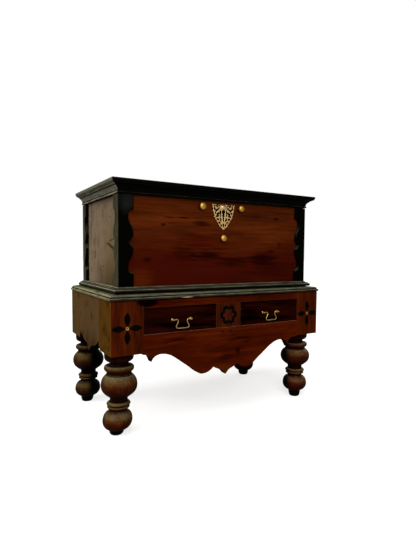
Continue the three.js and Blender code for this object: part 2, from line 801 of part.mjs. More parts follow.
// Brass plate of the lock: a pointed shield pierced with leaves, with a domed boss at its top
function lockPlateGeometry() {
  const half = lockPlateWidth / 2;
  const right = drawn(lockOutlineShares, half, lockPlateHeight);
  const leaf = ([across, up, lengthShare, widthShare, leanShare], sign) => {
    const lean = sign * leanShare * Math.PI;
    return Array.from({ length: piercingSteps }, (_, i) => {
      const angle = (2 * Math.PI * i) / piercingSteps;
      const along = lengthShare * half * Math.cos(angle);
      const wide = widthShare * half * Math.sin(angle);
      return point(
        sign * across * half + along * Math.cos(lean) - wide * Math.sin(lean),
        up * lockPlateHeight + along * Math.sin(lean) + wide * Math.cos(lean));
    });
  };
  const holes = [
    ...piercingShares.flatMap((shares) => [leaf(shares, 1), leaf(shares, -1)]),
    ...centrePiercingShares.map((shares) => leaf(shares, 1)),
    moved(keyholeOutline(), 0, lockPlateHeight - keyholeDrop),
  ];
  const plate = standing([...right, ...mirrored(right.slice(1))], lockPlateThickness, holes);
  const boss = turned([
    point(0, -lockPlateThickness / 2),
    point(lockBossRadius, -lockPlateThickness / 2),
    ...drawn(domeShares, lockBossRadius, lockBossHeight, [1, 0]),
  ], roundFacets).rotateX(Math.PI / 2).translate(0, 0, lockPlateHeight - lockBossDrop);
  return joined(plate, boss);
}

// Domed stud and its shank, seated at the origin with the head toward the front
function studGeometry() {
  const shank = boardThickness + seam;
  return turned([
    point(0, -shank),
    point(studShankRadius, -shank),
    point(studShankRadius, 0),
    ...drawn(domeShares, studHeadRadius, studHeadHeight, [1, 0]),
  ], roundFacets).rotateX(Math.PI / 2);
}

// Iron lock case with the pocket that the lid's staple drops into
function lockCaseGeometry() {
  const pocketX = stapleWidth / 2 + tongueClearance;
  const pocketY = tongueThickness / 2 + tongueClearance;
  const tongueBottom = lidBoardBottom - seam - staplePlateThickness - tongueLength;
  return cut(
    block([-lockCaseWidth / 2, -lockCaseThickness / 2, -lockCaseHeight],
      [lockCaseWidth / 2, lockCaseThickness / 2, 0]),
    block([-pocketX, -pocketY, tongueBottom - tongueClearance - lockCaseTop],
      [pocketX, pocketY, cutOverrun]));
}

// Hinge: a leaf beside its knuckles. The fixed one has the two outer knuckles and the pin.
function hingeGeometries() {
  const half = hingeWidth / 2;
  const centre = hingeCentreWidth / 2;
  const clear = hingeKnuckleRadius + hingeKnuckleClearance;
  const leaf = (outline) => standing(outline, hingeLeafThickness)
    .translate(0, -hingeKnuckleRadius, 0);
  const gap = centre + seam;
  const fixed = joined(
    leaf([
      point(-half, -hingeLeafHeight), point(half, -hingeLeafHeight), point(half, 0),
      point(gap, 0), point(gap, -clear), point(-gap, -clear), point(-gap, 0), point(-half, 0),
    ]),
    roundBar(-half, -gap, hingeKnuckleRadius),
    roundBar(gap, half, hingeKnuckleRadius),
    roundBar(-half, half, hingePinRadius));
  const moving = cut(
    joined(
      leaf([
        point(-half, clear), point(-centre, clear), point(-centre, 0), point(centre, 0),
        point(centre, clear), point(half, clear), point(half, hingeLidLeafHeight),
        point(-half, hingeLidLeafHeight),
      ]),
      roundBar(-centre, centre, hingeKnuckleRadius)),
    roundBar(-half, half, hingePinRadius + seam));
  return { fixed, moving };
}

function buildLid() {
  const lid = assembly(chest);
  const profile = profileOf(rimProfileShares, rimReach, rimHeight, rimWidth, rimBottom);
  piece(lid, 'lid_moulding_front',
    carried(profile, [frontStation(-1), frontStation(1)]), finishes.ebony);
  for (const [side, sign] of sides) {
    piece(lid, `lid_moulding_${side}`,
      carried(profile, [sideStation(sign), backStation(sign)]), finishes.mouldingWood);
  }
  const railEnd = cofferSide - rimWidth - seam;
  piece(lid, 'lid_back_rail', block(
    [-railEnd, backBoardInside, rimBottom],
    [railEnd, cofferBack, rimBottom + rimHeight]), finishes.insideWood);
  piece(lid, 'lid_board', lidBoardGeometry(), finishes.ebony, 0, 0, lidBoardBottom);

  const plateY = staplePlateWidth / 2;
  const tongue = tongueThickness / 2;
  const foot = -staplePlateThickness - tongueLength;
  const eye = foot + stapleEyeRise;
  piece(lid, 'lid_staple', cut(
    facingSide([
      point(-plateY, -staplePlateThickness), point(-tongue, -staplePlateThickness),
      point(-tongue, foot), point(tongue, foot),
      point(tongue, -staplePlateThickness), point(plateY, -staplePlateThickness),
      point(plateY, 0), point(-plateY, 0),
    ], stapleWidth).translate(-stapleWidth / 2, 0, 0),
    block([-stapleEyeWidth / 2, -cutOverrun, eye],
      [stapleEyeWidth / 2, cutOverrun, eye + stapleEyeHeight])),
  finishes.iron, lockShift, tongueY, lidBoardBottom - seam);

  const { fixed, moving } = hingeGeometries();
  for (const [side, sign] of sides) {
    const hinge = assembly(chest, sign * (cofferSide - hingeInset), hingeAxisY, hingeAxisZ);
    piece(hinge, `hinge_fixed_leaf_${side}`, fixed, finishes.iron);
    piece(hinge, `hinge_lid_leaf_${side}`, moving, finishes.iron);
  }
}

// Lid board: its front and side edges follow the edge outline, its back edge is flush
function lidBoardGeometry() {
  const cornerCount = 4;
  const edge = drawn(lidEdgeShares, lidNoseReach, lidBoardThickness).slice(1);
  const points = edge.flatMap(({ x: reach, y: z }) => [
    new THREE.Vector3(-cofferSide - reach, cofferBack, z),
    new THREE.Vector3(-cofferSide - reach, cofferFront - reach, z),
    new THREE.Vector3(cofferSide + reach, cofferFront - reach, z),
    new THREE.Vector3(cofferSide + reach, cofferBack, z),
  ]);
  const top = points.length - cornerCount;
  const triangles = [[0, 2, 1], [0, 3, 2], [top, top + 1, top + 2], [top, top + 2, top + 3]];
  for (let low = 0; low < top; low += cornerCount) {
    for (let i = 0; i < cornerCount; i += 1) {
      const a = low + i;
      const b = low + ((i + 1) % cornerCount);
      triangles.push([a, b, b + cornerCount], [a, b + cornerCount, a + cornerCount]);
    }
  }
  return closedGeometry(points, triangles);
}

// Handle post: nut inside the drawer front, shank, rose, neck and a ball bored for the bail
function handlePostGeometry() {
  const inside = -drawerFrontThickness - seam;
  const rose = seam + handleRoseThickness;
  const neckAngle = Math.asin(handleNeckRadius / handleBallRadius);
  const ball = Array.from({ length: smallRoundFacets / 2 + 1 }, (_, i) => {
    const angle = neckAngle + ((Math.PI - neckAngle) * 2 * i) / smallRoundFacets;
    const radius = i === smallRoundFacets / 2 ? 0 : handleBallRadius * Math.sin(angle);
    return point(radius, handleStandoff - handleBallRadius * Math.cos(angle));
  });
  const post = turned([
    point(0, inside - handleNutThickness),
    point(handleNutRadius, inside - handleNutThickness),
    point(handleNutRadius, inside),
    point(handleShankRadius, inside),
    point(handleShankRadius, seam),
    point(handleRoseRadius, seam),
    point(handleRoseRadius, (seam + rose) / 2),
    point(handleNeckRadius, rose + handleRoseThickness / 2),
    ...ball,
  ], smallRoundFacets).rotateX(Math.PI / 2);
  const bore = roundBar(-handleBallRadius - cutOverrun, handleBallRadius + cutOverrun,
    bailWireRadius + bailPinClearance).translate(0, -handleStandoff, 0);
  return cut(post, bore);
}

// Swan-neck bail, hung from its pins at the origin
function bailGeometry() {
  const half = handleSpan / 2;
  const tip = new THREE.Vector3(half + bailPinLength / 2, 0, 0);
  const right = bailPathShares.map(([across, down]) =>
    new THREE.Vector3(across * half, 0, down * handleDrop));
  const left = [tip, ...right].map((p) => new THREE.Vector3(-p.x, 0, p.z));
  const path = new THREE.CatmullRomCurve3([...left, ...right.reverse(), tip]);
  const section = new THREE.Shape(Array.from({ length: bailFacets }, (_, i) => {
    const angle = (2 * Math.PI * i) / bailFacets;
    return point(bailWireRadius * Math.cos(angle), bailWireRadius * Math.sin(angle));
  }));
  return new THREE.ExtrudeGeometry(section, { steps: bailSteps, extrudePath: path });
}

function buildDrawers() {
  const openingWidth = postInner - muntinSide;
  const frontHalf = openingWidth / 2 - drawerGap;
  const boxHalf = openingWidth / 2 - drawerSideGap;
  const frontTop = drawerOpeningHeight - drawerGap;
  const boxFront = drawerFrontThickness + seam;
  const innerHalf = boxHalf - drawerWall;
  const innerBack = drawerLength - drawerWall;
  const post = handlePostGeometry();
  const bail = bailGeometry();
  const bores = [-1, 1].map((sign) => turned([
    point(0, 0),
    point(handleShankRadius + seam, 0),
    point(handleShankRadius + seam, drawerFrontThickness + 2 * cutOverrun),
    point(0, drawerFrontThickness + 2 * cutOverrun),
  ], smallRoundFacets).rotateX(Math.PI / 2)
    .translate((sign * handleSpan) / 2, drawerFrontThickness + cutOverrun, handleRise));
  const front = cut(
    block([-frontHalf, 0, drawerGap], [frontHalf, drawerFrontThickness, frontTop]), ...bores);
  const groove = block(
    [-innerHalf - drawerGrooveDepth, boxFront - cutOverrun, drawerBottomRise - seam],
    [innerHalf + drawerGrooveDepth, innerBack + drawerGrooveDepth,
      drawerBottomRise + drawerBottomThickness + seam]);
  const carcass = cut(extruded([
    point(-boxHalf, boxFront), point(-innerHalf, boxFront), point(-innerHalf, innerBack),
    point(innerHalf, innerBack), point(innerHalf, boxFront), point(boxHalf, boxFront),
    point(boxHalf, drawerLength), point(-boxHalf, drawerLength),
  ], drawerSideHeight), groove);
  const bottomHalf = innerHalf + drawerGrooveDepth - seam;
  const bottom = block(
    [-bottomHalf, boxFront, drawerBottomRise],
    [bottomHalf, innerBack + drawerGrooveDepth - seam, drawerBottomRise + drawerBottomThickness]);
  for (const [side, sign] of sides) {
    const drawer = assembly(
      chest, (sign * (postInner + muntinSide)) / 2, standFront, openingBottom);
    piece(drawer, `drawer_front_${side}`, front, finishes.drawerWood);
    piece(drawer, `drawer_carcass_${side}`, carcass, finishes.insideWood);
    piece(drawer, `drawer_bottom_${side}`, bottom, finishes.insideWood);
    const handle = assembly(drawer, 0, 0, handleRise);
    for (const [end, endSign] of sides) {
      piece(handle, `handle_post_${side}_${end}`, post, finishes.brass,
        (endSign * handleSpan) / 2);
    }
    piece(handle, `bail_${side}`, bail, finishes.brass, 0, -handleStandoff);
  }
}

const stand = buildStand();
buildRunners(stand);
buildCoffer();
buildLid();
buildDrawers();

export default chest;
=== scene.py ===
"""Mule chest: a coffer of jackwood and ebony standing in the moulded tray of a two-drawer stand.

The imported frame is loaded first. Each sub-assembly is a class that holds its sizes in millimetres,
builds its surfaces with numpy in the frame's own place, and dresses them.
"""
import logging
import math
from collections.abc import Callable, Mapping, Sequence
from dataclasses import dataclass, replace
from enum import Enum
from functools import cache
from typing import Any

import bpy
import numpy as np
from mathutils import Matrix, Vector


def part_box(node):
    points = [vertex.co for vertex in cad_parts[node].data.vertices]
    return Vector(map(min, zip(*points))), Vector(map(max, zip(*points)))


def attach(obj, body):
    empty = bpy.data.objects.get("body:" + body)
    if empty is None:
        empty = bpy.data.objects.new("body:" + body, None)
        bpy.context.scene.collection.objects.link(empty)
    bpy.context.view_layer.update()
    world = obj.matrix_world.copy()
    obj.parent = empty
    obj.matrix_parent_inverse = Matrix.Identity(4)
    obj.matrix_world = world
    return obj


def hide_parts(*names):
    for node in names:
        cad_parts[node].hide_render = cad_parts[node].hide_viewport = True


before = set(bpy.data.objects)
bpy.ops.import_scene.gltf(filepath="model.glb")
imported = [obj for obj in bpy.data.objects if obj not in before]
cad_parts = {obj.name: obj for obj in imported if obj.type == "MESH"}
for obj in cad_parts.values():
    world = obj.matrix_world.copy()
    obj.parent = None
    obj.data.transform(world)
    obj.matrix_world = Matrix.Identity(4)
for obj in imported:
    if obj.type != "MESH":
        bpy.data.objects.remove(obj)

log = logging.getLogger("mule_chest")
MM = 0.001

# How far a mitre stands open, in millimetres
MITRE_GAP = 0.3

# Angles in degrees past which an edge is sharp
CREASE_MOULDING, CREASE_MOUNT, CREASE_LEG, CREASE_PLAIN, CREASE_CAST = 24.0, 26.0, 28.0, 30.0, 40.0

# Directions of a shape's own axes when it is laid against a face that looks to the front
FACING_FRONT = ((1, 0, 0), (0, 0, 1), (0, -1, 0))

# Sockets of a Mix node that mixes colours
MIX_FACTOR, MIX_A, MIX_B, MIX_RESULT = 0, 6, 7, 2

# The shader's input that sets how much a wood shines
GLOSS = "Specular IOR Level"

Pair, Triple = tuple[float, float], tuple[float, float, float]
Array, Socket = np.ndarray, bpy.types.NodeSocket

# Outlines as drawing steps: two numbers are a line's end, four and six are the poles of a curve,
# all as shares of a width and a height. An odd last number is the tone of the wood at that step's
# end, from 0, painted shade in a groove, to 1, a painted highlight with some dust and wear on a
# crest.
Step = tuple[float, ...]
Drawing = tuple[Step, ...]

LEG_PROFILE: Drawing = (
    (0.24, 0.0, 0.05), (0.32, 0.0, 0.34, 0.012, 0.05), (0.39, 0.03, 0.4, 0.055, 0.05),
    (0.425, 0.078, 0.1), (0.44, 0.083, 0.45, 0.085, 0.2),
    (0.66, 0.096, 0.82, 0.14, 0.82, 0.19, 0.5), (0.82, 0.203, 0.815, 0.213, 0.805, 0.222, 0.6),
    (0.8, 0.226, 0.2), (0.795, 0.231, 1.0), (0.785, 0.243, 0.95),
    (0.75, 0.265, 0.68, 0.286, 0.59, 0.296, 0.34), (0.52, 0.302, 0.48, 0.308, 0.48, 0.318, 0.2),
    (0.48, 0.328, 0.5, 0.336, 0.53, 0.339, 0.02), (0.59, 0.34, 0.615, 0.346, 0.615, 0.353, 0.8),
    (0.615, 0.36, 0.6, 0.365, 0.565, 0.367, 1.0), (0.53, 0.368, 0.02), (0.53, 0.374, 0.02),
    (0.62, 0.376, 0.655, 0.384, 0.655, 0.392, 0.7), (0.655, 0.403, 0.61, 0.412, 0.545, 0.416, 1.0),
    (0.5, 0.42, 0.02), (0.485, 0.43, 0.485, 0.45, 0.497, 0.468, 0.1),
    (0.54, 0.479, 0.64, 0.488, 0.71, 0.502, 0.22), (0.88, 0.53, 1.0, 0.56, 1.0, 0.618, 0.5),
    (1.0, 0.667, 0.91, 0.704, 0.74, 0.732, 1.0), (0.71, 0.7335, 0.02), (0.695, 0.7395, 0.02),
    (0.705, 0.742, 0.6), (0.69, 0.7465, 0.2), (0.684, 0.758, 0.02), (0.684, 0.768, 0.3),
    (0.69, 0.776, 0.05), (0.81, 0.779, 0.825, 0.797, 0.825, 0.809, 0.7),
    (0.825, 0.825, 0.8, 0.837, 0.74, 0.84, 1.0), (0.63, 0.842, 0.05),
    (0.54, 0.845, 0.505, 0.858, 0.51, 0.872, 0.0), (0.53, 0.884, 0.02),
    (0.66, 0.893, 0.77, 0.905, 0.795, 0.93, 0.22), (0.81, 0.95, 0.15), (0.81, 1.0, 0.03),
)

# Heights of a leg's foot, ball and upper ring on the drawing above
LEG_MARKS = (0.0, 0.083, 0.614, 0.797, 1.0)

APRON_EDGE: Drawing = (
    (0.02, 0.045, 0.04, 0.1, 0.075, 0.115), (0.162, 0.189),
    (0.195, 0.115, 0.25, 0.075, 0.31, 0.085), (0.36, 0.105, 0.4, 0.204, 0.47, 0.292),
    (0.56, 0.41, 0.64, 0.553, 0.74, 0.587), (0.81, 0.607, 0.87, 0.567, 0.885, 0.452),
    (0.9, 0.54, 0.915, 0.602, 0.95, 0.612), (1.0, 0.619),
)

SIDE_EDGE: Drawing = (
    (0.1, 0.16, 0.13, 0.34, 0.3, 0.42), (0.52, 0.5, 0.74, 0.62, 0.9, 1.0),
    (0.93, 0.78, 0.96, 0.6, 1.0, 0.52),
)

MOUNT_EDGE: Drawing = (
    (1.0, 0.144), (0.9, 0.146, 0.72, 0.15, 0.67, 0.185), (0.64, 0.24, 0.68, 0.27, 0.8, 0.305),
    (0.92, 0.335, 0.97, 0.36, 0.97, 0.4), (0.97, 0.43), (0.84, 0.445, 0.7, 0.487),
    (0.84, 0.525, 0.97, 0.545), (0.97, 0.585), (0.97, 0.62, 0.92, 0.65, 0.8, 0.685),
    (0.68, 0.725, 0.64, 0.76, 0.67, 0.8), (0.72, 0.835, 0.9, 0.84, 1.0, 0.845), (1.0, 1.0),
)

RIM_PROFILE: Drawing = (
    (0.06, 0.0, 0.0), (0.07, 0.02, 0.0), (0.12, 0.035, 0.8),
    (0.19, 0.06, 0.19, 0.15, 0.14, 0.185, 1.0), (0.08, 0.195, 0.03), (0.06, 0.215, 0.0),
    (0.06, 0.305, 0.0), (0.07, 0.325, 0.5), (0.09, 0.47, 0.22, 0.64, 0.48, 0.765, 0.7),
    (0.57, 0.79, 0.6), (0.6, 0.8, 0.03), (0.66, 0.885, 0.0), (0.72, 0.9, 0.6), (0.93, 0.96, 0.8),
    (0.97, 1.0, 0.8),
)

LID_EDGE: Drawing = (
    (0.78, 0.0, 0.1), (0.84, 0.02, 0.8), (0.865, 0.05, 0.87, 0.08, 0.86, 0.1, 0.7),
    (0.84, 0.115, 0.02), (0.835, 0.225, 0.0), (0.86, 0.24, 0.6),
    (0.93, 0.28, 0.965, 0.42, 0.97, 0.54, 0.8), (0.965, 0.56, 0.25), (0.965, 0.6, 0.3),
    (0.975, 0.62, 0.75), (1.0, 0.7, 1.0, 0.84, 0.97, 0.89, 0.6), (0.96, 0.92, 0.15),
    (0.955, 0.97, 0.94, 0.99, 0.9, 1.0, 0.2),
)

BASE_PROFILE: Drawing = (
    (0.86, 0.0, 0.0), (0.9, 0.02, 0.0), (1.03, 0.06, 1.03, 0.36, 0.95, 0.46, 0.12),
    (0.93, 0.48, 0.9), (0.88, 0.57, 1.0), (0.84, 0.61, 0.7), (0.8, 0.62, 0.02), (0.66, 0.64, 0.0),
    (0.62, 0.72, 0.0), (0.6, 0.735, 0.6), (0.45, 0.77, 0.75), (0.4, 0.79, 0.05), (0.3, 0.8, 0.0),
    (0.26, 0.88, 0.0), (0.22, 0.9, 0.7), (0.1, 1.0, 0.9),
)

STAND_PROFILE: Drawing = (
    (0.965, 0.0, 0.2), (0.985, 0.02, 0.5), (1.005, 0.08, 1.01, 0.24, 0.985, 0.34, 0.6),
    (0.97, 0.38, 1.0), (0.955, 0.44, 0.95), (0.93, 0.46, 0.03), (0.89, 0.48, 0.0),
    (0.885, 0.6, 0.0), (0.88, 0.625, 0.6), (0.865, 0.72, 0.85, 0.8, 0.82, 0.86, 1.0),
    (0.77, 0.9, 0.95), (0.72, 0.915, 0.45), (0.5, 0.95, 0.4), (0.25, 1.0, 0.35),
)

LOCK_OUTLINE: Drawing = (
    (0.07, 0.02, 0.16, 0.05, 0.2, 0.1), (0.3, 0.1, 0.36, 0.14, 0.37, 0.19),
    (0.42, 0.2, 0.45, 0.23, 0.44, 0.27), (0.53, 0.27, 0.58, 0.32, 0.58, 0.37),
    (0.66, 0.37, 0.72, 0.42, 0.7, 0.47), (0.8, 0.47, 0.83, 0.5, 0.76, 0.56),
    (0.84, 0.58, 0.86, 0.62, 0.82, 0.67), (0.92, 0.69, 0.93, 0.76, 0.87, 0.8),
    (0.96, 0.82, 0.94, 0.88, 0.93, 0.9), (0.97, 0.95, 1.0, 1.0),
    (0.9, 0.97, 0.84, 0.955, 0.78, 0.975), (0.72, 1.0, 0.66, 0.995, 0.6, 0.96),
    (0.54, 0.94, 0.5, 0.945, 0.42, 0.965), (0.3, 0.99),
)

# Leaf-shaped holes of the lock plate on its axis and right of it, mirrored to its left: how far
# across and below the top, half length, half width and lean, in millimetres and degrees
LOCK_HOLES = (
    (38.0, 9.0, 5.4, 3.4, 45.0), (52.0, 10.0, 3.6, 2.4, 10.0), (51.5, 23.0, 5.4, 3.2, 60.0),
    (24.5, 8.0, 3.0, 2.0, 20.0), (27.0, 22.0, 4.6, 2.8, -50.0), (40.5, 31.0, 5.6, 3.6, -35.0),
    (18.5, 41.0, 6.4, 3.0, 90.0), (32.0, 47.0, 6.4, 3.2, -25.0), (47.5, 45.0, 4.2, 2.6, -60.0),
    (35.5, 59.0, 6.4, 2.9, -20.0), (17.5, 57.5, 3.6, 2.6, 70.0), (0.0, 74.0, 7.0, 2.8, 90.0),
    (15.5, 77.0, 6.0, 3.1, 80.0), (32.5, 74.5, 5.2, 3.0, 12.0), (23.0, 91.5, 4.4, 3.1, 50.0),
    (12.5, 104.0, 4.0, 2.8, 50.0), (0.0, 104.0, 6.0, 2.8, 90.0),
)

# Heads drawn from their edge to the axis: the ring and the bead of a petal inlay's eye, a peg, the
# boss of the lock plate, and a stud
EYE_RING: Drawing = ((1.0, 0.8), (0.98, 1.0, 0.86, 1.0), (0.62, 1.0, 0.5, 0.55))
EYE_BEAD: Drawing = ((1.0, 0.55, 0.6, 1.0, 0.0, 1.0),)
PEG_HEAD: Drawing = ((1.0, 0.6, 0.6, 1.0, 0.0, 1.0),)
BOSS_HEAD: Drawing = ((1.0, 0.15), (0.97, 0.6, 0.6, 1.0, 0.0, 1.0))
STUD_HEAD: Drawing = (
    (1.0, 0.12, 1.04, 0.28, 1.0, 0.45), (0.94, 0.8, 0.6, 1.0, 0.0, 1.0),
)

# Radius and height above the drawer front of a handle post, from its rose to the neck of its ball,
# in millimetres
POST_NECK = ((6.6, 0.3), (6.6, 1.0), (5.6, 1.8), (4.4, 2.4), (3.2, 3.6), (2.6, 4.6), (2.6, 6.4))

# The right half of a bail, as shares of half its span and of its drop
BAIL_PATH = ((0.88, 0.0), (0.7, 0.04), (0.55, 0.0), (0.49, -0.19), (0.57, -0.44),
             (0.69, -0.7), (0.67, -0.9), (0.52, -0.99), (0.25, -1.0))



class Grain(Enum):
    """The way the fibres of a board run: along X, Y or Z."""

    ACROSS = 0
    DEEP = 1
    UPRIGHT = 2

    def scale(self, size_mm: float, stretch: float) -> Triple:
        """Scale of a pattern of this size across the fibres and so many times that along them."""
        across = 1000.0 / size_mm
        return tuple(across / stretch if axis == self.value else across for axis in range(3))


class Side(Enum):
    """The two ends of the chest, as seen from its front."""

    LEFT = -1
    RIGHT = 1

    @property
    def word(self) -> str:
        """The side's name in the frame."""
        return self.name.lower()


def linear(code: str) -> tuple[float, float, float, float]:
    """Turns an sRGB hex value into a linear colour, by the sRGB curve.

    Args:
        code: the hex value, with its leading hash.

    Returns:
        Red, green, blue and an alpha of 1.
    """
    shares = np.array([int(code[i : i + 2], 16) / 255 for i in (1, 3, 5)])
    low, high = shares / 12.92, ((shares + 0.055) / 1.055) ** 2.4
    return (*np.where(shares <= 0.04045, low, high).tolist(), 1.0)


@dataclass(frozen=True)
class Tree:
    """A node tree that is being filled. Levels are sockets that run from 0 to 1."""

    nodes: bpy.types.NodeTree

    def add(self, kind: str, inputs: Mapping[str | int, Any] | None = None,
            out: str | int = 0, stops: Sequence[tuple[float, str]] = (),
            span: Sequence[float] = (), **settings: Any) -> Socket | None:
        """Adds a node with its settings and links.

        Args:
            kind: the node's type name, after ShaderNode.
            inputs: a value, a hex colour or a socket for each input, by name or number.
            out: the output that the caller needs, by name or number.
            stops: places and hex colours, where the node is a colour ramp.
            span: From Min, From Max, To Min and To Max, where it is a map range.
            settings: the node's own properties.

        Returns:
            That output, if the node has any.
        """
        node = self.nodes.nodes.new(f"ShaderNode{kind}")
        for name, value in settings.items():
            setattr(node, name, value)
        ends = zip(("From Min", "From Max", "To Min", "To Max"), span)
        for key, value in {**(inputs or {}), **dict(ends)}.items():
            if isinstance(value, Socket):
                self.nodes.links.new(value, node.inputs[key])
            else:
                colour = isinstance(value, str)
                node.inputs[key].default_value = linear(value) if colour else value
        if stops:
            elements = node.color_ramp.elements
            while len(elements) < len(stops):
                elements.new(0.5)
            for element, (place, code) in zip(elements, stops):
                element.position, element.color = place, linear(code)
        return node.outputs[out] if node.outputs else None

    def streaks(self, place: Socket, scale: Triple, **noise: float) -> Socket:
        """The level of a noise that is drawn out along the fibres, with inputs of its own."""
        fibre = self.add("Mapping", {"Vector": place, "Scale": scale})
        return self.add("TexNoise", {"Vector": fibre, "Scale": 1.0, **noise})

    def sum_of(self, *parts: tuple[Socket, float]) -> Socket:
        """Adds up levels, each times its weight, and keeps the sum from 0 to 1.

        Args:
            parts: levels and their weights.

        Returns:
            The sum.
        """
        total: Any = 0.0
        for level, weight in parts:
            total = self.add("Math", {0: level, 1: weight, 2: total},
                             operation="MULTIPLY_ADD", use_clamp=True)
        return total

    def product_of(self, first: Socket, *factors: Socket | float, clamp: bool = False) -> Socket:
        """Multiplies levels.

        Args:
            first: the first level.
            factors: the others.
            clamp: keeps the product from 0 to 1.

        Returns:
            The product.
        """
        total = first
        for factor in factors:
            total = self.add("Math", {0: total, 1: factor}, operation="MULTIPLY", use_clamp=clamp)
        return total

    def coated(self, ground: Socket | str, *coats: tuple[Socket, Socket | str]) -> Socket:
        """Lays coats of colour over a ground, one after another.

        Args:
            ground: the colour below, as a socket or a hex value.
            coats: how much each coat covers, and its colour.

        Returns:
            The colour on top.
        """
        colour: Any = ground
        for share, coat in coats:
            colour = self.add("Mix", {MIX_FACTOR: share, MIX_A: colour, MIX_B: coat},
                              out=MIX_RESULT, data_type="RGBA")
        return colour

    def surfaced(self, colour: Socket, rough: tuple[Socket, float, float],
                 relief: tuple[Socket, float, float], between: Pair = (0.0, 1.0),
                 **constants: float) -> None:
        """Ends the tree with a shader that takes a colour, a roughness and a relief.

        Args:
            colour: the base colour.
            rough: the level that the roughness follows, then its least and greatest value.
            relief: the level that the relief follows, then its strength and its millimetres.
            between: the levels that give the least and the greatest roughness.
            constants: values of the shader's other inputs.
        """
        level = self.add("MapRange", {"Value": rough[0]}, span=(*between, *rough[1:]))
        height, strength, deep = relief
        bump = self.add("Bump", {"Strength": strength, "Distance": deep * MM, "Height": height})
        self.shaded({"Base Color": colour, "Roughness": level, "Normal": bump, **constants})

    def shaded(self, inputs: Mapping[str, Any]) -> None:
        """Ends the tree with a shader that has these inputs."""
        shader = self.add("BsdfPrincipled", inputs)
        self.add("OutputMaterial", {"Surface": shader})


@dataclass(frozen=True)
class Cloud:
    """A patch of figure, a knot, a crack or a painted shadow on a board, in millimetres.

    Its depth falls smoothly from its centre to its spread, and the wood's figure frays its edge.
    """

    centre: Triple
    spread: Triple
    depth: float
    fray: float = 2.2
    core: float = 0.15
    tint: str = ""

    def and_mirrored(self) -> tuple["Cloud", "Cloud"]:
        """The cloud, and its mirror image at the other end of the chest."""
        x, y, z = self.centre
        return self, replace(self, centre=(-x, y, z))

    def distance(self, tree: Tree, place: Socket) -> Socket:
        """How far a place lies from the centre, as a share of the spread.

        Args:
            tree: the material's tree.
            place: the place on the object, in metres.

        Returns:
            The distance.
        """
        spread = np.array(self.spread) * MM
        near = tree.add("Mapping", {"Vector": place, "Scale": (1 / spread).tolist(),
                                    "Location": (-np.array(self.centre) * MM / spread).tolist()})
        return tree.add("VectorMath", {0: near}, out="Value", operation="LENGTH")


def on_face(axis: int, face: float, deep: float, *marks: tuple[Any, ...]) -> tuple[Cloud, ...]:
    """Clouds on a board's face.

    Args:
        axis: the number of the axis that the face looks along.
        face: its place on that axis.
        deep: the clouds' spread into the wood.
        marks: each cloud's place and spread on the other axes, then its other values in order.

    Returns:
        The clouds.
    """
    return tuple(
        Cloud((*at[:axis], face, *at[axis:]), (*size[:axis], deep, *size[axis:]), *others)
        for at, size, others in ((mark[:2], mark[2:4], mark[4:]) for mark in marks))


@dataclass(frozen=True)
class Finish:
    """What a surface is made of and how it was worked. Each kind fills its tree in dress()."""

    name: str
    slot: str

    def dress(self, tree: Tree) -> None:
        """Fills a material's tree."""
        raise NotImplementedError


@cache
def made(finish: Finish) -> bpy.types.Material:
    """The material of a finish, made once.

    Args:
        finish: the finish.

    Returns:
        The material.
    """
    material = bpy.data.materials.new(finish.name)
    material.use_nodes = True
    material.node_tree.nodes.clear()
    finish.dress(Tree(material.node_tree))
    return material


@dataclass(frozen=True)
class Figure:
    """What the colours of a board follow in its tree: the place on the object, the way that the
    face looks, and the levels of the wood's broad figure, rings and pores."""

    tree: Tree
    place: Socket
    facing: Socket
    broad: Socket
    rings: Socket
    pores: Socket


